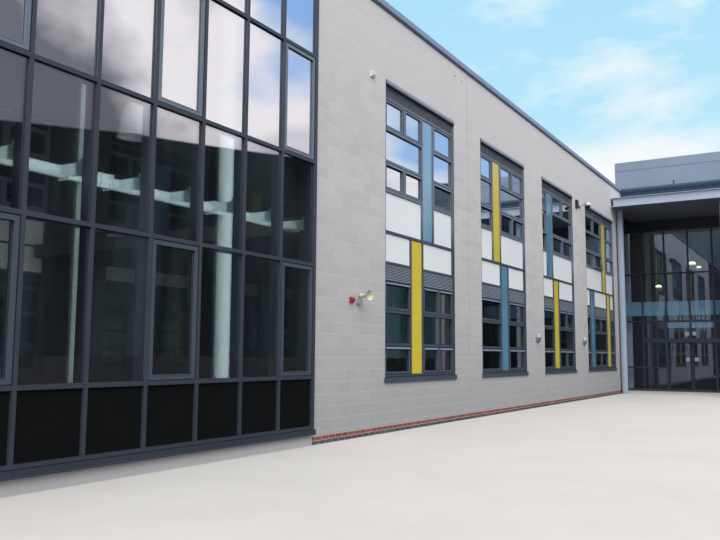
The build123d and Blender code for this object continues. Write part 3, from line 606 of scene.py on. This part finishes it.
# Painted sheen: the frames turn lighter from 4.4 metres up, for the sky that they mirror.
painted_sheen = frame_coat.parts(frame_coat.place)[2].ramp(4.4, 2.0) * 0.8
frame_coat.give("Base Color", frame_coat.blend(frame_without_sheen, (118, 131, 146), painted_sheen))
# The beads' lighter coat is a painted highlight; the plant room's level joint has the same coat.
bead_highlight_and_joint_coat = powder_coat("bead_highlight_and_joint_coat", (100, 111, 128), (92, 102, 118), 0.35)
dress(frame_coat, "window_frames", "window_sashes", "window_sills", "curtain_wall_sashes")
SASH_DEPTH, SASH_FACE, SASH_BAR, FRAME_FACE = 0.060, 0.038, 0.060, 0.030
OPEN_TILT = math.radians(7)


def facing(low):
    """The turn of the wall, front or back, that a box with this low corner stands in."""
    return 0 if low.y < MIDWAY else BACK_TURN


def across_face(low, high, z, set_back=None):
    """A place for a level strip across a box's outer face, or across a face set back from the wall's."""
    turn = facing(low)
    face_y = low.y if turn == 0 else high.y
    if set_back is not None:
        face_y = WING_FRONT + set_back if turn == 0 else WING_BACK - set_back
    return level_strip(Vector(((low.x + high.x) / 2, face_y, z)), turn, high.x - low.x)


def edging(low, high, turn, width):
    """Places for four strips just inside the edges of a pane's outer face."""
    spin = Matrix.Rotation(turn, 3, "Z")
    along, outward = spin @ Vector((1, 0, 0)), spin @ Vector((0, -1, 0))
    size = high - low
    reach, half_height, depth = abs(size.dot(along)) / 2, size.z / 2, abs(size.dot(outward)) / 2
    centre = (low + high) / 2 + outward * depth
    lift, shift = Vector((0, 0, half_height - width / 2)), along * (reach - width / 2)
    tall = 2 * (half_height - width)
    return [level_strip(centre + lift, turn, 2 * reach), level_strip(centre - lift, turn, 2 * reach),
            upright_strip(centre + shift, turn, tall), upright_strip(centre - shift, turn, tall)]


def leaned(places, sash_low, sash_high):
    """The same places on the open sash, which is turned about its top edge."""
    hinge = Vector(((sash_low.x + sash_high.x) / 2, sash_low.y, sash_high.z))
    swing = Matrix.Rotation(-OPEN_TILT, 3, "X")
    moved = []
    for point, turn, size in places:
        spin = swing @ Matrix.Rotation(turn[1], 3, "Y")
        moved.append((hinge + swing @ (point - hinge), tuple(spin.to_euler()), size))
    return moved


def outlined(name, cad_names, width, proud, finish=rubber, turn=None, thickest=math.inf):
    """One piece of strips just inside the edges of each outer face in these CAD nodes."""
    lines = []
    for low, high in (box for cad_name in cad_names for box in solid_boxes(cad_name)):
        if high.y - low.y < thickest:
            lines += edging(low, high, facing(low) if turn is None else turn, width)
    strips(name, width, proud, lines, finish)


def across_each(name, cad_name, width, proud, rise, finish=rubber, from_top=False, set_back=None):
    """One piece with a level strip across each box of a CAD node, this far over its foot or its top."""
    places = [across_face(low, high, (high if from_top else low).z + rise, set_back)
              for low, high in solid_boxes(cad_name)]
    strips(name, width, proud, places, finish)


BEAD, GAP_LINE = 0.016, 0.013
sash_places = [[], [], [], []]
HOOD_OVERLAP, HOOD_DROP, SLOT_SHADOW_DROP = 0.006, 0.034, 0.079
HOODLESS_HEIGHT = 6.5
for low, high in solid_boxes("window_sashes"):
    is_open = high.y - low.y > SASH_DEPTH + 0.02
    if is_open:
        low = Vector((low.x, WING_FRONT + SASH_FACE, low.z))
        high = Vector((high.x, WING_FRONT + SASH_FACE + SASH_DEPTH, high.z))
    turn = facing(low)
    inset = Vector((SASH_BAR - BEAD, 0, SASH_BAR - BEAD))
    gaps = edging(low, high, turn, GAP_LINE)
    beads = edging(low + inset, high - inset, turn, BEAD)
    hoods, slot_shadows = [], []
    if low.z < HOODLESS_HEIGHT:
        bare = Vector((SASH_BAR - HOOD_OVERLAP, 0, 0))
        hoods = [across_face(low + bare, high - bare, high.z - HOOD_DROP)]
        slot_shadows = [across_face(low + bare, high - bare, high.z - SLOT_SHADOW_DROP)]
    for gathered, places in zip(sash_places, (gaps, beads, hoods, slot_shadows)):
        gathered.extend(leaned(places, low, high) if is_open else places)
gap_places, bead_places, hood_places, slot_shadow_places = sash_places
outlined("frame_edge_seals", ["window_frames"], 0.012, 0.003)
# Painted shadow: a black strip round each sash, where it closes in its frame.
strips("sash_seals", GAP_LINE, 0.003, gap_places)
strips("sash_beads", BEAD, 0.004, bead_places, bead_highlight_and_joint_coat)


# Ventilator hoods: a small pressed bar across the top of each sash below the highest row, with a
# sloping top, coated light as a painted highlight, and a black strip under it that is partly the
# vent's slot and partly a painted shadow.
HOOD_PROUD, HOOD_HEIGHT = 0.030, 0.036
# Painted highlight: the hoods are coated much lighter than the frames.
hood_highlight_coat = powder_coat("hood_highlight_coat", (142, 158, 180), (134, 149, 170), 0.3)
hood = extruded([(0.001, 0), (-0.018, -0.003), (-HOOD_PROUD, -0.012), (-HOOD_PROUD, -HOOD_HEIGHT),
                 (0.001, -HOOD_HEIGHT)])
copies_of("ventilator_hoods", hood, hood_places, hood_highlight_coat)
# Partly painted shadow: the black strip under each hood.
strips("ventilator_slots", 0.018, 0.006, slot_shadow_places)


# Louvres: thin fixed blades before a dark backing, a painted shade, over the upper windows and over
# the lower, with a shadow line and a bright bead on the bar below them, the bead's brightness a
# painted highlight.
louvre_coat = powder_coat("louvre_coat", (148, 158, 170), (138, 147, 158), 0.5)
# Painted highlight: the light coat of the head folds and of the louvres' bottom beads.
fold_highlight_coat = powder_coat("painted_highlight_fold_coat", (178, 190, 212), (168, 179, 200), 0.3)
# Painted shade: the dark backing behind the louvre blades and on the heads.
shade_backing = Finish("louvre_shade_backing", (34, 39, 43), Roughness=0.8)
shade_backing.give("Base Color", shade_backing.weathered((40, 45, 49), 3.0))
dress(shade_backing, "louvre_bands", "window_heads")
BLADE_PITCH, BLADE_PROUD = 0.032, 0.017
SHADOW_BELOW, BEAD_BELOW = 0.008, 0.026
blades = []
for low, high in solid_boxes("louvre_bands"):
    count = int((high.z - low.z) / BLADE_PITCH)
    blades += [across_face(low, high, low.z + (high.z - low.z) * (n + 0.5) / count) for n in range(count)]
blade = extruded([(0.0, 0.011), (-BLADE_PROUD, -0.006), (-BLADE_PROUD, -0.012), (0.0, -0.001)])
copies_of("louvre_blades", blade, blades, louvre_coat)
across_each("louvre_shadow_lines", "louvre_bands", 0.012, 0.002, -SHADOW_BELOW, set_back=FRAME_FACE)
across_each("louvre_bottom_beads", "louvre_bands", 0.014, 0.008, -BEAD_BELOW, fold_highlight_coat,
            set_back=FRAME_FACE)


# Head flashings and sills: a broad and a narrow bright fold along each dark head, the folds' light a
# painted highlight and the head's dark a painted shadow, and on each sill a shadow line under the
# frame and a drip along its lower edge.
BROAD_FOLD_DROP, NARROW_FOLD_DROP, DRIP_RISE, SILL_LINE_RISE = 0.030, 0.070, 0.008, 0.010
across_each("head_broad_folds", "window_heads", 0.030, 0.004, -BROAD_FOLD_DROP, fold_highlight_coat, from_top=True)
across_each("head_narrow_folds", "window_heads", 0.014, 0.005, -NARROW_FOLD_DROP, fold_highlight_coat, from_top=True)
across_each("sill_drips", "window_sills", 0.016, 0.010, DRIP_RISE, frame_coat)
across_each("sill_shadow_lines", "window_sills", 0.020, 0.004, SILL_LINE_RISE, from_top=True,
            set_back=FRAME_FACE)


# Glass: sealed double units with a thin metal coating, stronger in the upper rows. From outside
# they mirror the sky and let the dark rooms show through, least of all at the back.
BACK_FROM, BACK_ALPHA = 5.0, 0.97


def glazing(name, colour, alpha, upper_alpha, above):
    """Coated glass that mirrors as much as alpha says, and more above a height and at the back."""
    glass = Finish(name, colour, Metallic=1.0)
    north, height = glass.parts(glass.place)[1:]
    front_alpha = (height > above) * (upper_alpha - alpha) + alpha
    glass.give("Alpha", front_alpha.or_more((north > BACK_FROM) * BACK_ALPHA))
    ripple = glass.noise(glass.place, 0.45, 2.0)
    glass.give("Roughness", ripple * 0.006 + 0.004)
    glass.bump(ripple, 0.02, 0.02)
    return glass


dress(glazing("window_glazing", (240, 246, 250), 0.16, 0.84, 4.29), "window_glass")
THICKEST_PANE = 0.03
outlined("pane_rubbers", ["window_glass"], 0.010, 0.004, thickest=THICKEST_PANE)


# Panels and fins: flat coated sheets held by slim beads, white between the storeys, and blue
# and yellow upright fins beside the windows. The blue ones have a high gloss.
dress(powder_coat("white_panel_coat", (241, 246, 249), (234, 240, 243), 0.35), "white_panels")
blue_coat = powder_coat("blue_fin_coat", (100, 158, 190), (92, 149, 180), 0.22,
                        Coat_Weight=1.0, Coat_IOR=2.3, Coat_Roughness=0.15)
dress(blue_coat, "blue_fins")
yellow_coat = powder_coat("yellow_fin_coat", (226, 203, 62), (216, 193, 55), 0.32,
                          Coat_Weight=0.4, Coat_Roughness=0.12)
dress(yellow_coat, "yellow_fins")
outlined("panel_beads", ["white_panels", "blue_fins", "yellow_fins"], 0.010, 0.006, frame_coat)


# Curtain wall: caps and mullions in dark powder coat, black rubber lines beside the glass,
# opening lights with a bead, and a black base row over a jointed sill.
mullion_coat = powder_coat("mullion_coat", (62, 69, 82), (56, 62, 74), 0.4)
sill_coat = powder_coat("sill_coat", (58, 65, 77), (52, 58, 69), 0.45)
dress(mullion_coat, "curtain_wall_frame", "entrance_frame")
dress(sill_coat, "curtain_wall_sill")
dress(glazing("hall_glazing", (244, 246, 249), 0.50, 0.85, 5.18), "curtain_wall_glass")
base_glazing = Finish("back_painted_glass", (22, 23, 25), Roughness=0.04, IOR=1.4,
                      Specular_IOR_Level=0.2)
base_glazing.grain(0.45, 0.02, 0.02, 2.0)
dress(base_glazing, "curtain_wall_base_panels")
HALL_SASH_BAR, HALL_SASH_BEAD = 0.080, 0.014
hall_gaps, hall_beads = [], []
for low, high in solid_boxes("curtain_wall_sashes"):
    inset = Vector((HALL_SASH_BAR - HALL_SASH_BEAD, 0, HALL_SASH_BAR - HALL_SASH_BEAD))
    hall_gaps += edging(low, high, 0, GAP_LINE)
    hall_beads += edging(low + inset, high - inset, 0, HALL_SASH_BEAD)
outlined("curtain_wall_rubbers", ["curtain_wall_glass", "curtain_wall_base_panels"], 0.006, 0.004)
# Painted shadow: a black strip round each opening light, where it closes in its frame.
strips("curtain_wall_sash_seals", GAP_LINE, 0.003, hall_gaps)
strips("curtain_wall_beads", HALL_SASH_BEAD, 0.005, hall_beads, frame_coat)
sill_low, sill_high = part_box("curtain_wall_sill")
sill_size, sill_middle = sill_high - sill_low, (sill_low + sill_high) / 2
HALL_PANES, HALL_PANE, HALL_JAMB = 7, 1.006, 0.055
foot_lines = [level_strip(Vector((sill_middle.x, hall_box[0].y, sill_high.z + 0.007)), 0, sill_size.x)]
for number in range(1, HALL_PANES):
    joint = Vector((sill_low.x + HALL_JAMB + number * HALL_PANE, sill_low.y, sill_middle.z))
    foot_lines.append((joint, (0, UPRIGHT, 0), (sill_size.z, 1, 0.4)))
strips("curtain_wall_foot_lines", 0.014, 0.002, foot_lines)
sill_drip = level_strip(Vector((sill_middle.x, sill_low.y, sill_low.z + 0.010)), 0, sill_size.x)
strips("curtain_wall_sill_drip", 0.020, 0.010, [sill_drip], sill_coat)


# Hall steel: round columns and a level tube, gloss-painted in a very pale green-white. Plates
# with four bolts join the tube at each column, and each arm has a bolted end and a stiffener. The
# one column behind the entrance glass is a little bluer.
steel_paint = powder_coat("pale_gloss_paint", (198, 224, 224), (190, 216, 216), 0.22)
dress(steel_paint, "hall_columns", "hall_tube", "hall_brackets")
entrance_column_paint = powder_coat("entrance_column_paint", (176, 208, 226), (168, 200, 218), 0.22)
dress(entrance_column_paint, "entrance_column")


def lathed(points, sides=32):
    """A round solid about the Y axis from its outline of (radius, place along Y)."""
    mesh = bmesh.new()
    rings = []
    for radius, y in points:
        if radius == 0:
            rings.append([mesh.verts.new((0, y, 0))])
        else:
            angles = [2 * math.pi * i / sides for i in range(sides)]
            rings.append([mesh.verts.new((radius * math.cos(a), y, radius * math.sin(a))) for a in angles])
    for a, b in zip(rings, rings[1:]):
        for i in range(sides):
            j = (i + 1) % sides
            corners = [a[i % len(a)], a[j % len(a)], b[j % len(b)], b[i % len(b)]]
            mesh.faces.new(list(dict.fromkeys(corners)))
    bmesh.ops.recalc_face_normals(mesh, faces=mesh.faces)
    unit = unit_of(mesh)
    for face in unit.data.polygons:
        face.use_smooth = True
    unit.data.set_sharp_from_angle(angle=math.radians(35))
    return unit


tube_low, tube_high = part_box("hall_tube")
tube_y, tube_z = (tube_low.y + tube_high.y) / 2, (tube_low.z + tube_high.z) / 2
PLATE_LENGTH, PLATE_HEIGHT, PLATE_THICKNESS = 0.25, 0.20, 0.015
END_PLATE = 0.22
PLATE_BOLTS = [(x, z) for x in (-0.08, 0.08) for z in (-0.06, 0.06)]
ARM_BOLTS = [(x, z) for x in (-0.032, 0.032) for z in (-0.07, 0.07)]
plates, end_plates, bolts = [], [], []
for low, high in solid_boxes("hall_columns"):
    for side, edge in ((-1, low.x), (1, high.x)):
        middle = Vector((edge + side * (PLATE_LENGTH / 2 - 0.01), tube_low.y - PLATE_THICKNESS / 2, tube_z))
        plates.append(middle)
        end_plates.append(Vector((edge + side * PLATE_LENGTH, tube_y, tube_z)))
        bolts += [(middle + Vector((dx, -PLATE_THICKNESS / 2, dz)), *AS_DRAWN) for dx, dz in PLATE_BOLTS]
arm_plates, stiffeners = [], []
for low, high in solid_boxes("hall_brackets"):
    x = (low.x + high.x) / 2
    arm_plates.append(Vector((x, low.y + 0.008, tube_z)))
    stiffeners.append(Vector((x, low.y + 0.014, low.z + 0.002)))
    bolts += [(Vector((x + dx, low.y + 0.016, tube_z + dz)), (0, 0, math.pi), (1, 1, 1))
              for dx, dz in ARM_BOLTS]
for name, unit, places in (
        ("tube_plates", unit_box(PLATE_LENGTH, PLATE_THICKNESS, PLATE_HEIGHT, 0.003, True), plates),
        ("tube_end_plates", unit_box(PLATE_THICKNESS, END_PLATE, END_PLATE, 0.003, True), end_plates),
        ("arm_end_plates", unit_box(0.11, 0.016, 0.20, 0.003, True), arm_plates),
        ("arm_stiffeners", extruded([(0, 0), (0.36, 0), (0.36, -0.012), (0, -0.085)], 0.014), stiffeners)):
    copies_of(name, unit, places, steel_paint)
bolt_steel = Finish("bolt_steel", (150, 154, 156), Roughness=0.35, Metallic=0.8)
bolt_steel.grain(300.0, 0.0004, 0.3)
bolt = lathed([(0, -0.012), (0.013, -0.012), (0.015, -0.009), (0.015, 0), (0, 0)], 6)
copies_of("steel_bolts", bolt, bolts, bolt_steel)


# Entrance screen: clear panes in slim bars, the blue-green band at the floor between the storeys,
# and black rubber lines.
entrance_glazing = glazing("entrance_glazing", (176, 192, 210), 0.20, 0.24, 5.62)
dress(entrance_glazing, "entrance_glass", "door_left_glass", "door_right_glass")
dress(powder_coat("spandrel_coat", (140, 190, 222), (132, 181, 213), 0.5), "entrance_spandrels")
outlined("entrance_rubbers", ["entrance_glass"], 0.010, 0.005, turn=ENTRANCE_TURN)


# Doors: two sliding leaves of clear glass in dark bars, coated darker than the window frames as a
# painted shade for the porch, with a black rubber line round the glass and a plain square plate on
# each. Two more plates are on the pane over them.
# Painted shade: the door bars and the header are darker than the window frames.
door_shade_coat = powder_coat("door_shade_coat", (54, 61, 72), (48, 55, 65), 0.38)
dress(door_shade_coat, "door_left_leaf", "door_right_leaf", "door_header")
plate_grey = powder_coat("plate_grey", (176, 182, 190), (168, 174, 182), 0.4)
DOOR_PLATE, DOOR_PLATE_INSET, DOOR_PLATE_HEIGHT, DOOR_LINE = 0.17, 0.19, 1.52, 0.009
TO_PORCH = ((0, 0, ENTRANCE_TURN), (1, 1, 1))
for side, name in ((1, "left"), (-1, "right")):
    body = f"{name} entrance door"
    leaf_low, leaf_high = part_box(f"door_{name}_leaf")
    low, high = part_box(f"door_{name}_glass")
    meeting = leaf_low.y if side == 1 else leaf_high.y
    lines = edging(low, high, ENTRANCE_TURN, DOOR_LINE)
    strips(f"door_{name}_rubbers", DOOR_LINE, 0.004, lines, body=body)
    square = Vector((low.x - 0.002, meeting + side * DOOR_PLATE_INSET, DOOR_PLATE_HEIGHT))
    copies_of(f"door_{name}_plate", unit_box(DOOR_PLATE, 0.004, DOOR_PLATE, 0.001),
              [(square, *TO_PORCH)], plate_grey, body)
doors_middle = (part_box("door_left_leaf")[0].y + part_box("door_right_leaf")[1].y) / 2
glass_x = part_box("entrance_glass")[0].x
header_plates = [(Vector((glass_x - 0.002, doors_middle + dy, 2.72)), *TO_PORCH) for dy in (-0.16, 0.16)]
copies_of("header_plates", unit_box(DOOR_PLATE, 0.004, DOOR_PLATE, 0.001), header_plates,
          plate_grey)


# Porch and canopy: a pale metal canopy with a thin flange above and below its web, a plain dark
# sheet under it, round columns, and a dark soffit and bulkhead inside the porch. The sheet, the
# soffit and the bulkhead are dark as a painted shade.
dress(powder_coat("canopy_coat", (178, 190, 208), (170, 181, 199), 0.35), "canopy_roof")
dress(powder_coat("canopy_column_coat", (166, 180, 198), (158, 171, 189), 0.35), "canopy_columns")
# Painted shade: the soffit and the sheet under the canopy are darker than the canopy.
soffit_shade_coat = powder_coat("soffit_shade_coat", (118, 123, 134), (109, 113, 124), 0.55)
dress(soffit_shade_coat, "porch_soffit")
# Painted shade: the bulkhead is coated dark.
dress(powder_coat("bulkhead_shade_coat", (54, 59, 68), (48, 53, 61), 0.55), "porch_bulkhead")
canopy_low, canopy_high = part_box("canopy_roof")
FLANGE_SHOWN, SHEET = 0.05, 0.006
canopy_size, canopy_middle = canopy_high - canopy_low, (canopy_low + canopy_high) / 2
sheet_spot = Vector((canopy_middle.x, canopy_middle.y, canopy_low.z - SHEET / 2 + 0.001))
sheet = unit_box(canopy_size.x - 2 * FLANGE_SHOWN, canopy_size.y - 2 * FLANGE_SHOWN, SHEET, 0.001, True)
copies_of("canopy_underside_sheet", sheet, [sheet_spot], soffit_shade_coat)


# Band over the porch and plant room: flat cassettes with upright joints, cladding sheets with one
# level joint and a slim cap, and a small dark post on the coping between them.
dress(powder_coat("plant_room_coat", (140, 156, 175), (132, 147, 165), 0.45), "plant_room")
cap_coat = powder_coat("plant_room_cap_coat", (178, 190, 204), (168, 180, 194), 0.35)
band_low, band_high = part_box("entrance_parapet")
FIRST_JOINT, CASSETTE, CASSETTE_JOINTS = -0.725, 0.99, 9
UPWARD = ((-math.pi / 2, 0, 0), (1, 1, 1))
band_middle = (band_low.z + band_high.z) / 2
band_joints = [upright_strip(Vector((band_low.x, FIRST_JOINT - number * CASSETTE, band_middle)),
                             ENTRANCE_TURN, band_high.z - band_low.z) for number in range(CASSETTE_JOINTS)]
strips("band_joints", 0.020, 0.004, band_joints, porch_coping_coat)
post_foot = Vector((ENTRANCE_LEFT + 0.1, -2.24, coping_high.z - 0.002))
post = lathed([(0, 0), (0.060, 0), (0.060, -0.015), (0.028, -0.03), (0.028, -0.165), (0.036, -0.17),
               (0.036, -0.195), (0, -0.20)], 16)
copies_of("roof_edge_post", post, [(post_foot, *UPWARD)], fold_shadow_and_post_coat)
plant_low, plant_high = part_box("plant_room")
plant_size, plant_middle = plant_high - plant_low, (plant_low + plant_high) / 2
PLANT_JOINT_LEVEL, PLANT_CAP = 10.5, 0.030


def round_plant_room(z):
    """Places for a level strip on each of the four sides."""
    return [level_strip(Vector((plant_low.x, plant_middle.y, z)), ENTRANCE_TURN, plant_size.y),
            level_strip(Vector((plant_high.x, plant_middle.y, z)), -ENTRANCE_TURN, plant_size.y),
            level_strip(Vector((plant_middle.x, plant_low.y, z)), 0, plant_size.x),
            level_strip(Vector((plant_middle.x, plant_high.y, z)), math.pi, plant_size.x)]


strips("plant_room_level_joint", 0.020, 0.005, round_plant_room(PLANT_JOINT_LEVEL), bead_highlight_and_joint_coat)
strips("plant_room_cap", PLANT_CAP, 0.006, round_plant_room(plant_high.z - PLANT_CAP / 2), cap_coat)


# Bulkhead lights: two round castings on the wall. Each has a grey rim and a face whose upper
# half is a pale lens and whose lower half is painted blue-grey, a painted shade where it faces down.
pale_grey = powder_coat("pale_grey_casting", (150, 158, 170), (141, 148, 160), 0.45, 6.0)


def on_wall(low, high):
    """The middle of a fitting's box, moved onto the front wall's face."""
    return Vector(((low.x + high.x) / 2, WING_FRONT, (low.z + high.z) / 2))


def wall_box(name, size, chamfer, spot, finish):
    """A box with chamfered edges and its back on the wall, about a spot on the wall's face."""
    return copies_of(name, unit_box(*size, chamfer, True), [spot - Vector((0, size[1] / 2, 0))], finish)


light_spots = [on_wall(low, high) for low, high in solid_boxes("wall_lights")]
light_face = Finish("bulkhead_light_face", (206, 212, 219), Roughness=0.32)
upper_half = light_face.parts(light_face.place)[2] > light_spots[0].z
pale_lens = light_face.weathered((196, 203, 211), 8.0)
# Painted shade: the lower half of the face is blue-grey.
light_face.give("Base Color", light_face.blend((112, 124, 144), pale_lens, upper_half))
light_face.grain(120.0, 0.0005, 0.3)
rim = lathed([(0, 0), (0.165, 0), (0.165, -0.055), (0.153, -0.068), (0.141, -0.066), (0, -0.062)])
copies_of("wall_light_rims", rim, light_spots, pale_grey)
lens = lathed([(0, -0.058), (0.140, -0.058), (0.137, -0.078), (0.112, -0.091), (0.07, -0.098), (0, -0.1)])
light_faces = copies_of("wall_light_faces", lens, light_spots, light_face)
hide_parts("wall_lights")


# Loudspeaker: a cream horn with its driver behind it, turned a little towards the near end on a
# grey bracket.
cream = powder_coat("cream_plastic", (216, 212, 190), (206, 202, 180), 0.4, 6.0)
grey_plastic = powder_coat("grey_plastic", (164, 167, 172), (154, 157, 162), 0.45, 6.0)
horn_foot = on_wall(*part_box("loudspeaker"))
HORN_TURN = math.radians(-13)
horn_unit = lathed([(0, -0.008), (0.018, -0.008), (0.018, -0.034), (0.046, -0.040), (0.050, -0.050),
                    (0.050, -0.094), (0.044, -0.104), (0.030, -0.110), (0.034, -0.160), (0.050, -0.210),
                    (0.078, -0.262), (0.100, -0.290), (0.105, -0.298), (0.101, -0.296), (0.074, -0.256),
                    (0.046, -0.204), (0.026, -0.160), (0, -0.154)])
horn = copies_of("loudspeaker_horn", horn_unit, [(horn_foot, (0, 0, HORN_TURN), (1, 1, 1))], cream)
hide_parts("loudspeaker")
wall_box("loudspeaker_bracket", (0.075, 0.014, 0.11), 0.003, horn_foot, grey_plastic)


# Small boxes on the wall: a red sounder with a round front on a square base, a grey box with a
# lid and a cable gland, a white sensor high up, two plugged cable holes near the coping, and a
# navy box with a yellow lens at the far end.
red_plastic = powder_coat("red_plastic", (188, 30, 38), (176, 26, 33), 0.3, 6.0)
white_plastic = powder_coat("white_plastic", (232, 233, 236), (224, 225, 228), 0.4, 6.0)
navy_casting = powder_coat("navy_casting", (34, 38, 62), (30, 33, 54), 0.4, 6.0)
yellow_lens = powder_coat("yellow_lens", (226, 196, 60), (216, 186, 52), 0.25, 6.0)
alarm_boxes = solid_boxes("alarm_boxes")
sounder_spot, box_spot, sensor_spot, navy_spot = (on_wall(low, high) for low, high in alarm_boxes)
sounder_size, box_size, sensor_size, navy_size = (high - low for low, high in alarm_boxes)
SOUNDER_BASE, LID = 0.045, 0.016
sounder = wall_box("sounder_base", (sounder_size.x, SOUNDER_BASE, sounder_size.z), 0.006, sounder_spot,
                   red_plastic)
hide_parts("alarm_boxes")
front = lathed([(0, -0.044), (0.050, -0.044), (0.050, -0.070), (0.044, -0.080), (0.03, -0.085), (0, -0.085)])
copies_of("sounder_front", front, [sounder_spot], red_plastic)
wall_box("junction_box", (box_size.x - 0.008, box_size.y - 0.014, box_size.z - 0.008), 0.004, box_spot,
         grey_plastic)
copies_of("junction_box_lid", unit_box(box_size.x, LID, box_size.z, 0.004, True),
          [box_spot - Vector((0, box_size.y - LID / 2, 0))], grey_plastic)
gland = lathed([(0, 0), (0.013, 0), (0.013, 0.018), (0.009, 0.022), (0.009, 0.034), (0, 0.034)], 12)
gland_spot = box_spot + Vector((0, -0.032, 0.004 - box_size.z / 2))
copies_of("junction_box_gland", gland, [(gland_spot, *UPWARD)], grey_plastic)
half = sensor_size.z / 2
sensor = extruded([(0, -half), (-0.05, -half), (-0.078, -0.01), (-0.078, 0.03), (-0.05, half), (0, half)],
                  sensor_size.x)
copies_of("upper_sensor", sensor, [sensor_spot], white_plastic)
CABLE_LEVEL, CABLE_PLACES = 8.90, (-4.39, -3.93)
plug = lathed([(0, 0.001), (0.027, 0.001), (0.027, -0.003), (0.018, -0.004), (0, -0.004)], 12)
cable_holes = [Vector((x, WING_FRONT, CABLE_LEVEL)) for x in CABLE_PLACES]
copies_of("cable_holes", plug, cable_holes, rubber)
wall_box("navy_box", navy_size, 0.010, navy_spot, navy_casting)
box_lens = lathed([(0, 0.002), (0.020, 0.002), (0.020, -0.006), (0.012, -0.012), (0, -0.014)], 20)
copies_of("navy_box_lens", box_lens, [navy_spot + Vector((0.055, -navy_size.y, 0.105))], yellow_lens)


# Dome camera: a black dome under a white cap, at the end of a slim grey arm that rises from a
# small dark plate on the wall.
camera_low, camera_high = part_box("security_camera")
camera_x = (camera_low.x + camera_high.x) / 2
PLATE_LEVEL, ARM_REACH, ARM_RISE, DOME_RADIUS = 7.363, 0.25, 0.13, 0.09
camera_foot = Vector((camera_x, WING_FRONT, PLATE_LEVEL))
dome_spot = Vector((camera_x, WING_FRONT - 0.35, camera_low.z + 0.12))
wall_box("camera_plate", (0.11, 0.02, 0.11), 0.004, camera_foot, navy_casting)
arm_turn = -math.atan2(ARM_RISE, ARM_REACH)
copies_of("camera_arm", lathed([(0, 0), (0.020, 0), (0.020, -1), (0, -1)], 16),
          [(camera_foot - Vector((0, 0.012, 0)), (arm_turn, 0, 0), (1, math.hypot(ARM_RISE, ARM_REACH), 1))],
          grey_plastic)
camera_cap = lathed([(0, -0.12), (0.028, -0.12), (0.045, -0.104), (0.078, -0.078), (DOME_RADIUS, -0.04),
                     (DOME_RADIUS, 0.0), (0.086, 0.008), (0, 0.008)])
cap = copies_of("camera_cap", camera_cap, [(dome_spot, *UPWARD)], white_plastic)
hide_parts("security_camera")
camera_dome = lathed([(0, 0.004), (0.084, 0.004), (0.082, 0.038), (0.067, 0.078), (0.040, 0.106),
                      (0.016, 0.118), (0, 0.12)])
copies_of("camera_dome", camera_dome, [(dome_spot, *UPWARD)], rubber)


# Lamps inside: one bell pendant in the hall and three lit ones over the entrance. Each hangs on a
# straight rod from the ceiling, and the lit ones have a broad bright lamp at the top of a clear bell.
ROOF_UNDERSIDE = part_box("roof_deck")[0].z
opal = powder_coat("opal_shade", (186, 192, 196), (178, 184, 188), 0.3, 6.0)
prismatic = powder_coat("prismatic_shade", (150, 152, 142), (140, 142, 132), 0.3, 6.0, Alpha=0.4)
glow = Finish("lit_lamp", (255, 248, 226), Roughness=0.4, Emission_Color=paint(255, 248, 226),
              Emission_Strength=1.5)
glow.grain(60.0, 0.0005, 0.2)
HALL_LAMPS = [(Vector((-13.84, 1.6, 5.40)), 1.12)]
ENTRANCE_LAMPS = [(Vector((18.2, -2.37, 6.055)), 0.80), (Vector((18.2, -2.67, 5.90)), 0.50),
                  (Vector((18.2, -0.79, 5.01)), 0.68)]
LAMP_TURN, SHADE_TOP = (-math.pi / 2, 0, 0), 0.34
for name, lamps, finish, rod_finish in (("hall_pendant", HALL_LAMPS, opal, steel_paint),
                                        ("entrance_pendants", ENTRANCE_LAMPS, prismatic, rubber)):
    shade = lathed([(0, -SHADE_TOP), (0.045, -SHADE_TOP), (0.060, -0.31), (0.110, -0.27), (0.160, -0.18),
                    (0.200, -0.04), (0.228, 0.12), (0.240, 0.23), (0.234, 0.23), (0.220, 0.12),
                    (0.190, -0.04), (0.150, -0.16), (0.10, -0.24), (0, -0.24)])
    copies_of(name, shade, [(p, LAMP_TURN, (size, size, size)) for p, size in lamps], finish)
    rods = []
    for p, size in lamps:
        top = p.z + SHADE_TOP * size
        rods.append((Vector((p.x, p.y, (top + ROOF_UNDERSIDE) / 2)), LAMP_TURN, (1, ROOF_UNDERSIDE - top, 1)))
    copies_of(f"{name}_rods", lathed([(0, -0.5), (0.007, -0.5), (0.007, 0.5), (0, 0.5)], 8), rods,
              rod_finish)
lit_lamp = lathed([(0, -0.26), (0.12, -0.25), (0.195, -0.20), (0.225, -0.15), (0.20, -0.09), (0.12, -0.05),
                   (0, -0.04)])
copies_of("entrance_lamps", lit_lamp, [(p, LAMP_TURN, (size, size, size)) for p, size in ENTRANCE_LAMPS],
          glow)


# Room light: plain wide lamps, out of sight, for the daylight that reaches the hall through its
# glass and the rooms from their far sides.
INWARD, DOWN = (math.pi / 2, 0, 0), (0, 0, 0)
ROOM_LIGHTS = (("hall_day_light", (-14.4, 0.42, 4.75), INWARD, (6.8, 7.8), 300),
               ("entrance_room_light", (18.3, -4.0, 8.5), DOWN, (1.6, 8.0), 70),
               ("entrance_hall_light", (18.3, -4.0, 3.9), DOWN, (1.6, 8.0), 40),
               ("lower_rooms_light", (2.0, 4.5, 3.9), DOWN, (22.0, 5.0), 40),
               ("upper_rooms_light", (2.0, 4.5, 8.6), DOWN, (22.0, 5.0), 40))
for name, place, turn, size, watts in ROOM_LIGHTS:
    room_light = bpy.data.objects.new(name, bpy.data.lights.new(name, "AREA"))
    room_light.data.shape = "RECTANGLE"
    room_light.data.size, room_light.data.size_y = size
    room_light.data.energy = watts
    room_light.location = place
    room_light.rotation_euler = turn
    room_light.visible_camera = False
    room_light.visible_glossy = False
    bpy.context.scene.collection.objects.link(room_light)
